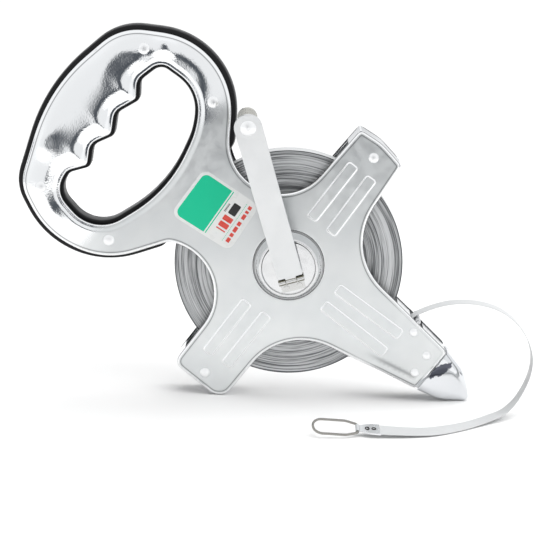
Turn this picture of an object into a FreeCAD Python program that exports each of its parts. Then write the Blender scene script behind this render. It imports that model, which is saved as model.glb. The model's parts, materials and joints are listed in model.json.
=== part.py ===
"""Open-frame reel for a long steel measuring tape, built from separate pieces.

Two pressed plates make a frame with four arms.  One arm is a hand loop with a grip core, two carry
bright end caps, and the last is a nose with a solid tip and the tape's mouth.  The reel turns in the
frame, driven by a folding crank.  Dimensions are millimetres.  The hub axis is the design centre:
X runs to the right, Z up, and Y away from the side with the crank.
"""

import FreeCAD, Part
import math
import os
from FreeCAD import Vector

# ---- place of the hub centre above the origin (the origin is the bottom centre of the reel's box)
HUB_X = 29.5
HUB_Y = 15.25
HUB_Z = 95.3

# ---- frame
FRAME_DEPTH = 27.0
PLATE = 1.2
OUTER = FRAME_DEPTH / 2
INNER = OUTER - PLATE
ARM_ANGLE = 54.8
HUB_HOLE_R = 24.6
RIB_HEIGHT = 0.8
RIB_WIDTH = 7.6
RIB_CORNER_R = 0.8

# outline corners of a plate: x, z and the radius that rounds the corner
PLATE_OUTLINE = [
    (-120.3, 160.0, 37.9),
    (-41.3, 152.7, 54.0),
    (-47.7, -21.1, 35.5),
    (45.7, 96.3, 1.7),
    (60.6, 87.4, 30.0),
    (74.9, 72.6, 2.1),
    (38.2, 11.6, 46.2),
    (113.6, -58.4, 2.0),
    (93.2, -86.6, 2.1),
    (-0.9, -42.7, 43.9),
    (-43.5, -99.8, 10.1),
    (-77.9, -73.4, 6.2),
    (-23.7, 2.8, 37.5),
    (-83.5, 13.4, 3.4),
    (-155.1, -12.4, 59.4),
    (-187.6, 49.3, 26.1),
    (-168.0, 116.9, 117.7),
]
HAND_HOLE = [
    (-92.3, 138.2, 9.9),
    (-64.9, 119.6, 29.5),
    (-66.4, 91.5, 60.4),
    (-84.8, 48.7, 96.4),
    (-135.4, 15.1, 25.9),
    (-163.1, 45.2, 16.2),
    (-155.0, 60.3, 7.0),
    (-141.1, 64.6, 2.0),
    (-139.4, 79.8, 9.1),
    (-125.1, 86.9, 2.0),
    (-123.2, 102.7, 9.0),
    (-108.4, 111.8, 2.0),
    (-108.3, 125.0, 9.1),
]
# the hand loop alone, closed on the hub side, is the grip core before it is cut round the reel
GRIP_OUTLINE = [
    (-120.3, 160.0, 37.9),
    (-41.3, 152.7, 54.0),
    (-43.4, 84.0, 2.0),
    (-89.0, 11.5, 2.0),
    (-155.1, -12.4, 59.4),
    (-187.6, 49.3, 26.1),
    (-168.0, 116.9, 117.7),
]
GRIP_PROUD = 3.2
GRIP_LIP = 2.4
GRIP_ROUND = 2.2
REEL_ROOM_R = 84.0

# ribs: centre lines from the hub end to the outer end
RIBS = [
    ((14.6, 33.6), (41.9, 72.1)),
    ((28.2, 23.8), (54.7, 63.3)),
    ((-28.0, -27.3), (-54.4, -64.8)),
    ((-14.0, -35.7), (-41.1, -73.4)),
    ((34.6, -15.3), (79.9, -46.8)),
    ((25.6, -27.6), (69.7, -60.0)),
]

# ---- rivets: places and sizes
HANDLE_RIVETS = [(-103.7, 146.2), (-55.8, 111.5), (-172.6, 48.0), (-125.0, 12.8)]
ARM_RIVETS = [(55.4, 77.4), (-55.7, -79.5)]
NOSE_RIVETS = [(89.2, -44.7), (99.2, -61.0), (91.5, -73.7)]
HANDLE_HEAD_R = 4.0
ARM_HEAD_R = 3.6
NOSE_HEAD_R = 3.1
HEAD_HEIGHT = 1.4
RIVET_R = 2.0
SPACER_R = 3.4

# ---- arm end caps
CAP_SHEET = 1.3
CAP_INSET = 0.15
CAP_REACH = 92.0

# ---- nose tip, mouth and guide roller
TIP_CORNERS = [
    (113.9, -58.9, 0.6),
    (125.5, -70.5, 26.0),
    (132.0, -96.5, 3.2),
    (106.5, -96.0, 20.0),
    (93.4, -87.0, 0.6),
]
TIP_HALF_DEPTH = 5.0
TIP_TAPER_X = (98.0, 131.0)
TONGUE = [(114.5, -61.5), (96.5, -86.0), (71.0, -73.5), (87.5, -41.6), (97.5, -45.2)]
TONGUE_ROLLER_ROOM = 3.2
ROLLER = (91.9, -37.4)
ROLLER_R = 2.1
ROLLER_PIN_R = 0.9
ROLLER_GAP = 0.05
GUIDE_SHEET = 1.0
GUIDE_BEFORE = [(77.8, -26.2), (87.2, -34.9)]
GUIDE_AFTER = [(96.6, -43.7), (112.6, -59.0)]

# ---- label
LABEL_CORNERS = [(-60.5, 65.6, 6.0), (-21.5, 41.0, 6.0), (-41.4, 8.4, 6.0), (-82.9, 33.0, 6.0)]
LABEL_SHEET = 0.2

# ---- reel
COIL_R = 79.6
CORE_R = 30.0
TAPE_WIDTH = 12.5
DRUM_WALL = 3.0
DISC_R = 34.0
DISC_SHEET = 1.0
BUSH_R = 23.7
BUSH_FLANGE_R = 27.5
SHAFT_GAP = 0.06
BOSS_R = BUSH_R - SHAFT_GAP
BOSS_FACE = 23.5
BOSS_RIM = 0.8
BOSS_FACE_R = 20.3
BOSS_SHELL = 2.2
REAR_CAP_FACE = 17.0
AXLE_R = 4.0
AXLE_HEAD_R = 6.5
AXLE_HEAD = 1.4

# ---- crank: it folds about an axis beside the hub and rests leaning out a little
CRANK_ANGLE = 107.0
CRANK_LEAN = 10.0
HINGE = (2.3, -7.9)
HINGE_OUT = 26.3
BARREL_R = 2.0
PIN_R = 0.9
PIN_GAP = 0.05
BARREL_HALF = 9.0
ARM_KNUCKLE_HALF = 3.8
KNUCKLE_GAP = 0.3
LUG_SHEET = 1.3
LUG_HALF = 8.2
LUG_REACH = 7.8
LUG_RIVETS = [(-4.6, -5.4), (4.6, -5.4)]
LUG_RIVET_R = 1.2
LUG_HEAD_R = 2.1
LUG_HEAD = 0.8
ARM_LENGTH = 114.5
ARM_SHEET = 2.0
ARM_HUB_HALF = 8.9
ARM_TIP_R = 9.5
ARM_SHOULDER = 2.8
KNOB_R = 6.8
KNOB_LENGTH = 23.4
KNOB_BORE_R = 2.3
KNOB_FLUTES = 36
KNOB_STEM_R = KNOB_BORE_R - 0.05
RIVET_HEAD_R = 5.3
RIVET_HEAD = 1.8
WASHER_R = 6.0
WASHER = 0.5

# ---- free tape: route of its centre line, from the mouth to the clip, hub-centred
TAPE_ROUTE = [
    (92.0, 0.0, -33.8),
    (107.0, 0.0, -26.0),
    (132.0, -5.0, -22.5),
    (154.0, -10.0, -28.0),
    (169.0, -18.0, -43.5),
    (172.5, -28.0, -64.0),
    (158.0, -38.0, -90.0),
    (135.0, -57.0, -94.2),
    (113.0, -77.0, -93.7),
    (91.0, -92.0, -92.3),
    (63.5, -94.3, -91.3),
]
BAND = 0.4
TAPE_LEAVES_COIL = -55.9
# the tape's back edge lifts off the ground towards its end
END_TILT = 28.0
TILT_STARTS = 0.72

# ---- hook ring at the tape's end
CLIP_LENGTH = 13.0
CLIP_SHEET = 0.5
EYE_R = 1.5
EYE_BORE_R = 0.85
EYE_HALF = 3.4
RING_WIRE_R = 0.75
RING_LENGTH = 30.0
RING_HALF_WIDTH = 6.4
RING_BEND = 2.6
EYELET_R = 1.5
EYELET_HEIGHT = 0.4
EYELETS_AT = (3.5, 8.5)

LONG = 400.0


def save(name, shape):
    """Write one node, moved so that the reel stands on z = 0 about the origin."""
    os.makedirs("parts", exist_ok=True)
    placed = shape.copy()
    placed.translate(Vector(HUB_X, HUB_Y, HUB_Z))
    placed.exportStep("parts/" + name + ".step")
    box = placed.BoundBox
    corners = (box.XMin, box.YMin, box.ZMin, box.XMax, box.YMax, box.ZMax)
    print(name, placed.isValid(), len(placed.Solids), round(placed.Volume), [round(v, 1) for v in corners])


def rounded_wire(corners, y):
    """Closed outline in the plane at depth y: straight sides joined by arcs at the corners."""
    ends = []
    for index, (x, z, radius) in enumerate(corners):
        corner = Vector(x, y, z)
        before = corners[index - 1]
        after = corners[(index + 1) % len(corners)]
        to_before = (Vector(before[0], y, before[1]) - corner).normalize()
        to_after = (Vector(after[0], y, after[1]) - corner).normalize()
        half = to_before.getAngle(to_after) / 2
        reach = radius / math.tan(half)
        start = corner + to_before * reach
        end = corner + to_after * reach
        middle = (to_before + to_after).normalize()
        top = corner + middle * (radius / math.sin(half) - radius)
        ends.append((start, top, end))
    edges = []
    for index, (start, top, end) in enumerate(ends):
        edges.append(Part.Arc(start, top, end).toShape())
        edges.append(Part.LineSegment(end, ends[(index + 1) % len(ends)][0]).toShape())
    return Part.Wire(edges)


def slab(wire, depth):
    return Part.Face(wire).extrude(Vector(0, depth, 0))


def flat_slab(points, y, depth):
    """Straight-sided slab with the outline points (x, z), from y over the depth."""
    return slab(Part.makePolygon([Vector(x, y, z) for x, z in points + points[:1]]), depth)


def disc(place, radius, y_from, y_to):
    return Part.makeCylinder(radius, y_to - y_from, Vector(place[0], y_from, place[1]), Vector(0, 1, 0))


def ring(place, outer, inner, y_from, y_to):
    return disc(place, outer, y_from, y_to).cut(disc(place, inner, y_from, y_to))


def turned(profile):
    """Solid of revolution about the hub axis from its (radius, y) profile."""
    points = [Vector(radius, y, 0) for radius, y in profile + profile[:1]]
    return Part.Face(Part.makePolygon(points)).revolve(Vector(), Vector(0, 1, 0), 360)


def domed_head(place, radius, height, y, outward):
    """Low rivet head on the face at depth y, standing out along outward (-1 or 1)."""
    ball = (radius * radius + height * height) / (2 * height)
    centre = Vector(place[0], y + outward * (height - ball), place[1])
    head = Part.makeSphere(ball, centre)
    low = min(y, y + outward * height)
    return head.common(disc(place, radius, low, low + height))


def rivets(places, head_r):
    """Rivets through the whole frame with a head on each side, as separate solids."""
    shapes = []
    for place in places:
        shank = disc(place, RIVET_R, -OUTER, OUTER)
        front = domed_head(place, head_r, HEAD_HEIGHT, -OUTER, -1)
        back = domed_head(place, head_r, HEAD_HEIGHT, OUTER, 1)
        shapes.append(shank.multiFuse([front, back]).removeSplitter())
    return shapes


def rib(start, end, y, depth):
    """Raised rib with a square-ended outline between two centre-line points."""
    along = Vector(end[0] - start[0], 0, end[1] - start[1]).normalize()
    side = Vector(-along.z, 0, along.x) * (RIB_WIDTH / 2)
    first = Vector(start[0], 0, start[1])
    last = Vector(end[0], 0, end[1])
    corners = [first + side, last + side, last - side, first - side]
    return slab(rounded_wire([(c.x, c.z, RIB_CORNER_R) for c in corners], y), depth)


def frame_plate(y_outer, inward):
    """One pressed plate: y_outer is its outer face and inward the way to the other plate."""
    plate = slab(rounded_wire(PLATE_OUTLINE, y_outer), inward * PLATE)
    raised = [rib(start, end, y_outer, -inward * RIB_HEIGHT) for start, end in RIBS]
    plate = plate.multiFuse(raised)
    low = min(y_outer, y_outer + inward * PLATE)
    holes = [slab(rounded_wire(HAND_HOLE, low), PLATE)]
    holes.append(disc((0, 0), HUB_HOLE_R, low, low + PLATE))
    holes.append(disc(ROLLER, ROLLER_PIN_R, low, low + PLATE))
    for place in HANDLE_RIVETS + ARM_RIVETS + NOSE_RIVETS:
        holes.append(disc(place, RIVET_R, low, low + PLATE))
    return standing(plate.cut(Part.makeCompound(holes)).removeSplitter())


def standing(shape):
    """Trim what would reach below the surface that the reel stands on."""
    below = Part.makeBox(2 * LONG, 2 * LONG, LONG, Vector(-LONG, -LONG, -HUB_Z - LONG))
    return shape.cut(below)


def grip_core():
    outline = Part.Face(rounded_wire(GRIP_OUTLINE, -INNER)).makeOffset2D(GRIP_PROUD)
    core = outline.extrude(Vector(0, 2 * INNER, 0))
    outer_edges = [edge for edge in core.Edges if not runs_in_depth(edge)]
    core = core.makeFillet(GRIP_ROUND, outer_edges)
    opening = Part.Face(rounded_wire(HAND_HOLE, -INNER)).makeOffset2D(-GRIP_LIP)
    cuts = [opening.extrude(Vector(0, 2 * INNER, 0))]
    cuts.append(disc((0, 0), REEL_ROOM_R, -INNER, INNER))
    cuts += [disc(place, RIVET_R, -INNER, INNER) for place in HANDLE_RIVETS]
    return core.cut(Part.makeCompound(cuts))


def runs_in_depth(edge):
    first = edge.valueAt(edge.FirstParameter)
    last = edge.valueAt(edge.LastParameter)
    return abs(first.y - last.y) > 1.0


def end_cap(direction):
    """Bright strip round an arm's end, between the plates; direction is 1 up the arm or -1."""
    face = Part.Face(rounded_wire(PLATE_OUTLINE, -INNER))
    outer = face.makeOffset2D(-CAP_INSET).extrude(Vector(0, 2 * INNER, 0))
    inner = face.makeOffset2D(-CAP_INSET - CAP_SHEET).extrude(Vector(0, 2 * INNER, 0))
    end = Part.makeBox(LONG, LONG, LONG, Vector(CAP_REACH, -LONG / 2, -LONG / 2))
    end.rotate(Vector(), Vector(0, 1, 0), -ARM_ANGLE + (0 if direction > 0 else 180))
    return standing(outer.cut(inner).common(end))


def arm_spacers():
    return [ring(place, SPACER_R, RIVET_R, -INNER, INNER) for place in ARM_RIVETS]


def nose_tip():
    """Solid tip, full depth at the plates and thin at its point, with a tongue between the plates."""
    tip = slab(rounded_wire(TIP_CORNERS, -OUTER), FRAME_DEPTH)
    wide = OUTER
    x_from, x_to = TIP_TAPER_X
    plan = [
        Vector(60, -wide, -LONG / 2),
        Vector(x_from, -wide, -LONG / 2),
        Vector(x_to, -TIP_HALF_DEPTH, -LONG / 2),
        Vector(x_to + 9, -TIP_HALF_DEPTH, -LONG / 2),
        Vector(x_to + 9, TIP_HALF_DEPTH, -LONG / 2),
        Vector(x_to, TIP_HALF_DEPTH, -LONG / 2),
        Vector(x_from, wide, -LONG / 2),
        Vector(60, wide, -LONG / 2),
    ]
    wedge = Part.Face(Part.makePolygon(plan + plan[:1])).extrude(Vector(0, 0, LONG))
    tongue = flat_slab(TONGUE, -INNER, 2 * INNER)
    shape = tip.common(wedge).fuse(tongue).removeSplitter()
    cuts = [disc(place, RIVET_R, -INNER, INNER) for place in NOSE_RIVETS]
    cuts.append(disc(ROLLER, TONGUE_ROLLER_ROOM, -INNER, INNER))
    cuts.append(guide_strip(GUIDE_AFTER))
    return standing(shape.cut(Part.makeCompound(cuts)))


def guide_strip(line):
    """Bright wall between the plates along a stretch of the nose's upper edge."""
    (x_from, z_from), (x_to, z_to) = line
    along = Vector(x_to - x_from, 0, z_to - z_from).normalize()
    down = Vector(along.z, 0, -along.x) * GUIDE_SHEET
    points = [(x_from, z_from), (x_to, z_to)]
    points += [(x_to + down.x, z_to + down.z), (x_from + down.x, z_from + down.z)]
    return flat_slab(points, -INNER, 2 * INNER)


def hub_bush(side):
    """Plain bearing in a plate's hub hole; side is -1 at the front and 1 at the back."""
    sleeve = turned([(BUSH_R, side * OUTER), (HUB_HOLE_R, side * OUTER),
                     (HUB_HOLE_R, side * INNER), (BUSH_R, side * INNER)])
    flange = turned([(BUSH_R, side * INNER), (BUSH_FLANGE_R, side * INNER),
                     (BUSH_FLANGE_R, side * (INNER - 1)), (BUSH_R, side * (INNER - 1))])
    return sleeve.fuse(flange).removeSplitter()


def label():
    """Thin sticker on the front plate, in the corner between the hub and the hand loop."""
    return slab(rounded_wire(LABEL_CORNERS, -OUTER), -LABEL_SHEET)


def hub_drum():
    return ring((0, 0), CORE_R, CORE_R - DRUM_WALL, -TAPE_WIDTH / 2, TAPE_WIDTH / 2)


def drum_disc(side):
    """Side disc of the drum, which also carries the hub; side is -1 at the front."""
    inner = side * TAPE_WIDTH / 2
    outer = inner + side * DISC_SHEET
    return ring((0, 0), DISC_R, AXLE_R, min(inner, outer), max(inner, outer))


def tape_coil():
    return ring((0, 0), COIL_R, CORE_R, -TAPE_WIDTH / 2, TAPE_WIDTH / 2)


def hub_boss():
    """Front hub: a dished cup that turns in the front bush, with a raised rim round its face."""
    base = TAPE_WIDTH / 2 + DISC_SHEET
    shell = BOSS_SHELL
    return turned([
        (BOSS_R, -base),
        (BOSS_R, -OUTER - 1.2),
        (BOSS_R - 0.9, -OUTER - 2.4),
        (BOSS_FACE_R + 0.4, -BOSS_FACE + 0.6),
        (BOSS_FACE_R - 0.3, -BOSS_FACE),
        (BOSS_FACE_R - 1.5, -BOSS_FACE),
        (BOSS_FACE_R - 2.0, -BOSS_FACE + BOSS_RIM),
        (AXLE_R, -BOSS_FACE + BOSS_RIM),
        (AXLE_R, -BOSS_FACE + BOSS_RIM + shell),
        (BOSS_FACE_R - shell, -BOSS_FACE + BOSS_RIM + shell),
        (BOSS_R - shell, -OUTER - 1.2),
        (BOSS_R - shell, -base),
    ])


def rear_hub():
    """Rear hub: a shallow cup that turns in the rear bush."""
    base = TAPE_WIDTH / 2 + DISC_SHEET
    shell = BOSS_SHELL
    return turned([
        (BOSS_R, base),
        (BOSS_R, REAR_CAP_FACE - 1.5),
        (BOSS_R - 1.5, REAR_CAP_FACE),
        (AXLE_R, REAR_CAP_FACE),
        (AXLE_R, REAR_CAP_FACE - shell),
        (BOSS_R - shell, REAR_CAP_FACE - shell),
        (BOSS_R - shell, base),
    ])


def hub_axle():
    """Through bolt that clamps the two hubs to the drum."""
    front = -BOSS_FACE + BOSS_RIM
    shank = disc((0, 0), AXLE_R, front, REAR_CAP_FACE)
    head = disc((0, 0), AXLE_HEAD_R, front - AXLE_HEAD, front)
    tail = disc((0, 0), AXLE_R, REAR_CAP_FACE, REAR_CAP_FACE + 1.6)
    return shank.multiFuse([head, tail]).removeSplitter()


def axle_nut():
    """Low hexagon nut on the rear hub."""
    across = 6.6
    points = []
    for corner in range(6):
        angle = math.radians(60 * corner)
        points.append((across * math.cos(angle), across * math.sin(angle)))
    return flat_slab(points, REAR_CAP_FACE, 1.2).cut(disc((0, 0), AXLE_R, REAR_CAP_FACE, REAR_CAP_FACE + 1.2))


def crank_place(shape, lean):
    """Move a shape from the crank's own space to its place on the hub.

    In that space the hinge axis is the X axis at the origin, the arm runs along Z, and -Y is outward.
    """
    placed = shape.copy()
    placed.rotate(Vector(), Vector(1, 0, 0), lean)
    placed.rotate(Vector(), Vector(0, 1, 0), 90 - CRANK_ANGLE)
    placed.translate(Vector(HINGE[0], -HINGE_OUT, HINGE[1]))
    return placed


def across_barrel(radius, x_from, x_to):
    return Part.makeCylinder(radius, x_to - x_from, Vector(x_from, 0, 0), Vector(1, 0, 0))


def crank_lug():
    """Strap riveted to the hub's face, rolled into the two outer knuckles of the hinge."""
    face = HINGE_OUT - (BOSS_FACE - BOSS_RIM)
    inner_end = ARM_KNUCKLE_HALF + KNUCKLE_GAP
    width = BARREL_HALF - inner_end
    strap = Part.makeBox(2 * LUG_HALF, LUG_SHEET, LUG_REACH, Vector(-LUG_HALF, face - LUG_SHEET, -LUG_REACH))
    pieces = []
    for start in (-BARREL_HALF, inner_end):
        pieces.append(across_barrel(BARREL_R, start, start + width))
        pieces.append(Part.makeBox(width, face, BARREL_R, Vector(start, 0, -BARREL_R)))
    lug = strap.multiFuse(pieces).removeSplitter()
    holes = [across_barrel(PIN_R, -BARREL_HALF, BARREL_HALF)]
    holes += [Part.makeCylinder(LUG_RIVET_R, face, Vector(x, 0, z), Vector(0, 1, 0)) for x, z in LUG_RIVETS]
    return crank_place(lug.cut(Part.makeCompound(holes)), 0)


def lug_rivets():
    """Two low rivets through the strap and the hub's face."""
    face = HINGE_OUT - (BOSS_FACE - BOSS_RIM)
    shapes = []
    for x, z in LUG_RIVETS:
        top = face - LUG_SHEET
        shank = Part.makeCylinder(LUG_RIVET_R, LUG_SHEET, Vector(x, top, z), Vector(0, 1, 0))
        head = Part.makeCylinder(LUG_HEAD_R, LUG_HEAD, Vector(x, top - LUG_HEAD, z), Vector(0, 1, 0))
        shapes.append(crank_place(shank.fuse(head).removeSplitter(), 0))
    return shapes


def hinge_pin():
    return crank_place(across_barrel(PIN_R, -BARREL_HALF, BARREL_HALF), 0)


def crank_arm():
    """Flat arm with a rounded tip, rolled at its foot into the hinge's middle knuckle."""
    inner = ARM_SHEET / 2
    outline = [
        (-ARM_HUB_HALF, ARM_SHOULDER, 1.2),
        (-ARM_TIP_R, ARM_LENGTH + ARM_TIP_R, ARM_TIP_R - 0.2),
        (ARM_TIP_R, ARM_LENGTH + ARM_TIP_R, ARM_TIP_R - 0.2),
        (ARM_HUB_HALF, ARM_SHOULDER, 1.2),
    ]
    blade = slab(rounded_wire(outline, -inner), ARM_SHEET)
    neck = Part.makeBox(2 * ARM_KNUCKLE_HALF, ARM_SHEET, ARM_SHOULDER + 1, Vector(-ARM_KNUCKLE_HALF, -inner, 0))
    knuckle = across_barrel(BARREL_R, -ARM_KNUCKLE_HALF, ARM_KNUCKLE_HALF)
    arm = blade.multiFuse([neck, knuckle]).removeSplitter()
    holes = [across_barrel(PIN_R + PIN_GAP, -BARREL_HALF, BARREL_HALF)]
    holes.append(Part.makeCylinder(KNOB_STEM_R, 3 * inner, Vector(0, -inner, ARM_LENGTH), Vector(0, 1, 0)))
    return crank_place(arm.cut(Part.makeCompound(holes)), CRANK_LEAN)


def at_tip(radius, y_from, y_to):
    """Cylinder on the knob's axis in the crank's own space."""
    return Part.makeCylinder(radius, y_to - y_from, Vector(0, y_from, ARM_LENGTH), Vector(0, 1, 0))


def knob_rivet():
    """Spindle of the knob, headed on the arm's outer face and under the knob's end."""
    inner = ARM_SHEET / 2
    ball = (RIVET_HEAD_R ** 2 + RIVET_HEAD ** 2) / (2 * RIVET_HEAD)
    dome = Part.makeSphere(ball, Vector(0, -inner - RIVET_HEAD + ball, ARM_LENGTH))
    head = dome.common(at_tip(RIVET_HEAD_R, -inner - RIVET_HEAD, -inner))
    dimple = at_tip(1.0, -inner - RIVET_HEAD, -inner - RIVET_HEAD + 0.5)
    end = inner + 2 * WASHER + KNOB_LENGTH
    stem = at_tip(KNOB_STEM_R, -inner, end)
    button = at_tip(4.0, end, end + 0.8)
    return crank_place(head.cut(dimple).multiFuse([stem, button]).removeSplitter(), CRANK_LEAN)


def knob_washer():
    inner = ARM_SHEET / 2
    washer = at_tip(WASHER_R, inner, inner + WASHER).cut(at_tip(KNOB_STEM_R, inner, inner + WASHER))
    return crank_place(washer, CRANK_LEAN)


def knob():
    """Fluted metal knob that turns freely on its spindle."""
    start = ARM_SHEET / 2 + WASHER + 0.15
    end = start + KNOB_LENGTH
    profile = [
        (KNOB_BORE_R, start),
        (KNOB_R - 1.0, start),
        (KNOB_R, start + 1.0),
        (KNOB_R, end - 1.0),
        (KNOB_R - 1.0, end),
        (KNOB_BORE_R, end),
    ]
    body = turned(profile)
    flutes = []
    for index in range(KNOB_FLUTES):
        angle = 2 * math.pi * index / KNOB_FLUTES
        place = (KNOB_R * math.cos(angle), KNOB_R * math.sin(angle))
        flutes.append(disc(place, 0.3, start + 2.5, end - 2.5))
    body = body.cut(Part.makeCompound(flutes))
    body.translate(Vector(0, 0, ARM_LENGTH))
    return crank_place(body, CRANK_LEAN)


def tape_path(points):
    """Straight runs joined by tangent arcs, each as large as its two runs allow."""
    route = [Vector(*point) for point in points]
    edges = []
    start = route[0]
    for index in range(1, len(route) - 1):
        corner = route[index]
        back = route[index - 1] - corner
        ahead = route[index + 1] - corner
        half_turn = (math.pi - back.getAngle(ahead)) / 2
        reach = 0.45 * min(back.Length, ahead.Length)
        radius = reach / math.tan(half_turn)
        back.normalize()
        ahead.normalize()
        middle = (back + ahead).normalize()
        top = corner + middle * (radius / math.cos(half_turn) - radius)
        print("free tape bend radius", round(radius, 1))
        edges.append(Part.LineSegment(start, corner + back * reach).toShape())
        edges.append(Part.Arc(corner + back * reach, top, corner + ahead * reach).toShape())
        start = corner + ahead * reach
    edges.append(Part.LineSegment(start, route[-1]).toShape())
    return Part.Wire(edges)


def width_way(share, heading):
    """Direction across the tape at a share of its length, square to its heading."""
    late = max(0.0, (share - TILT_STARTS) / (1 - TILT_STARTS))
    tilt = math.radians(END_TILT * late)
    across = Vector(0, math.cos(tilt), math.sin(tilt))
    return (across - heading * across.dot(heading)).normalize()


def tape_section(place, heading, share):
    side = width_way(share, heading) * (TAPE_WIDTH / 2)
    thick = heading.cross(side).normalize() * (BAND / 2)
    corners = [side + thick, thick - side, -side - thick, side - thick]
    return Part.makePolygon([place + c for c in corners + corners[:1]])


def tape_free_end():
    """Free stretch of tape: a flat band ruled between sections along its path."""
    path = tape_path(TAPE_ROUTE)
    sections = []
    done = 0.0
    for edge in path.Edges:
        steps = 5 if isinstance(edge.Curve, Part.Circle) else 1
        first = edge.FirstParameter
        span = edge.LastParameter - first
        for step in range(steps):
            at = first + span * step / steps
            share = (done + edge.Length * step / steps) / path.Length
            sections.append(tape_section(edge.valueAt(at), edge.tangentAt(at), share))
        done += edge.Length
    last, along, across, normal = tape_end_frame()
    sections.append(tape_section(last, along, 1.0))
    solid = Part.makeLoft(sections, True, True)
    ratio = solid.Volume / (path.Length * TAPE_WIDTH * BAND)
    print("free tape length", round(path.Length, 1), "volume ratio", round(ratio, 3))
    return solid


def tape_inner_run():
    """Stretch of tape inside the frame, from the coil's edge to the mouth."""
    angle = math.radians(TAPE_LEAVES_COIL)
    touch = Vector(math.cos(angle), 0, math.sin(angle)) * (COIL_R + 0.3 + BAND / 2)
    mouth = Vector(*TAPE_ROUTE[0])
    along = (mouth - touch).normalize()
    up = Vector(-along.z, 0, along.x) * (BAND / 2)
    corners = [touch + up, mouth + up, mouth - up, touch - up]
    return flat_slab([(c.x, c.z) for c in corners], -TAPE_WIDTH / 2, TAPE_WIDTH)


def tape_end_frame():
    """Place of the tape's free end, and the ways along it, across it and off its face."""
    last = Vector(*TAPE_ROUTE[-1])
    along = (last - Vector(*TAPE_ROUTE[-2])).normalize()
    across = width_way(1.0, along)
    return last, along, across, along.cross(across)


def at_tape_end(shape):
    """Move a shape from the clip's own space: X along the tape, Y across it, Z off its face."""
    last, along, across, normal = tape_end_frame()
    matrix = FreeCAD.Matrix(along.x, across.x, normal.x, last.x, along.y, across.y, normal.y, last.y,
                            along.z, across.z, normal.z, last.z, 0, 0, 0, 1)
    placed = shape.copy()
    placed.Placement = FreeCAD.Placement(matrix).multiply(placed.Placement)
    return placed


def tape_end_clip():
    """Folded clip on the tape's end, rolled into an eye for the hook ring."""
    height = BAND + 2 * CLIP_SHEET
    fold = Part.makeBox(CLIP_LENGTH, TAPE_WIDTH, height, Vector(0, -TAPE_WIDTH / 2, -height / 2))
    foot = Vector(CLIP_LENGTH + EYE_R - 0.4, -EYE_HALF, 0)
    eye = Part.makeCylinder(EYE_R, 2 * EYE_HALF, foot, Vector(0, 1, 0))
    bore = Part.makeCylinder(EYE_BORE_R, 2 * EYE_HALF, foot, Vector(0, 1, 0))
    holes = [bore]
    for x in EYELETS_AT:
        holes.append(Part.makeCylinder(EYELET_R, height, Vector(x, 0, -height / 2)))
    return at_tape_end(fold.fuse(eye).removeSplitter().cut(Part.makeCompound(holes)))


def clip_eyelets():
    """Two eyelets that hold the clip on the tape."""
    shapes = []
    height = BAND + 2 * CLIP_SHEET + 2 * EYELET_HEIGHT
    for x in EYELETS_AT:
        shapes.append(at_tape_end(Part.makeCylinder(EYELET_R, height, Vector(x, 0, -height / 2))))
    return shapes


def hook_ring():
    """Oblong wire ring whose near bar turns in the clip's eye."""
    near = CLIP_LENGTH + EYE_R - 0.4
    far = near + RING_LENGTH
    wide = RING_HALF_WIDTH
    flat = [(near, -wide, RING_BEND), (far, -wide, RING_BEND), (far, wide, RING_BEND), (near, wide, RING_BEND)]
    path = rounded_wire(flat, 0)
    path.rotate(Vector(), Vector(1, 0, 0), -90)
    first = path.Edges[0]
    start = first.valueAt(first.FirstParameter)
    heading = first.tangentAt(first.FirstParameter)
    circle = Part.Wire(Part.Circle(start, heading, RING_WIRE_R).toShape())
    return at_tape_end(path.makePipeShell([circle], True, False))


def main():
    save("front_frame_plate", frame_plate(-OUTER, 1))
    save("back_frame_plate", frame_plate(OUTER, -1))
    save("handle_grip_core", grip_core())
    save("upper_arm_end_cap", end_cap(1))
    save("lower_arm_end_cap", end_cap(-1))
    save("arm_spacer_tubes", Part.makeCompound(arm_spacers()))
    save("handle_rivets", Part.makeCompound(rivets(HANDLE_RIVETS, HANDLE_HEAD_R)))
    save("arm_rivets", Part.makeCompound(rivets(ARM_RIVETS, ARM_HEAD_R)))
    save("nose_rivets", Part.makeCompound(rivets(NOSE_RIVETS, NOSE_HEAD_R)))
    save("nose_tip", nose_tip())
    save("mouth_entry_strip", guide_strip(GUIDE_BEFORE))
    save("mouth_exit_strip", guide_strip(GUIDE_AFTER))
    save("tape_guide_roller", ring(ROLLER, ROLLER_R, ROLLER_PIN_R + ROLLER_GAP, -INNER + 0.2, INNER - 0.2))
    save("guide_roller_pin", disc(ROLLER, ROLLER_PIN_R, -OUTER, OUTER))
    save("front_hub_bush", hub_bush(-1))
    save("rear_hub_bush", hub_bush(1))
    save("label", label())
    save("tape_inner_run", tape_inner_run())

    save("hub_drum", hub_drum())
    save("front_drum_disc", drum_disc(-1))
    save("rear_drum_disc", drum_disc(1))
    save("tape_coil", tape_coil())
    save("hub_boss", hub_boss())
    save("rear_hub", rear_hub())
    save("hub_axle", hub_axle())
    save("axle_nut", axle_nut())
    save("crank_lug", crank_lug())
    save("lug_rivets", Part.makeCompound(lug_rivets()))
    save("crank_hinge_pin", hinge_pin())

    save("crank_arm", crank_arm())
    save("knob_rivet", knob_rivet())
    save("knob_washer", knob_washer())
    save("knob", knob())

    save("tape_free_end", tape_free_end())
    save("tape_end_clip", tape_end_clip())
    save("clip_eyelets", Part.makeCompound(clip_eyelets()))
    save("hook_ring", hook_ring())


main()
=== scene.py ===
"""Looks of the open-frame tape reel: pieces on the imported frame, materials, floor, light, camera."""

import bmesh
import bpy
import json
import math
import numpy as np
from mathutils import Matrix, Vector
from mathutils.geometry import delaunay_2d_cdt


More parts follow.
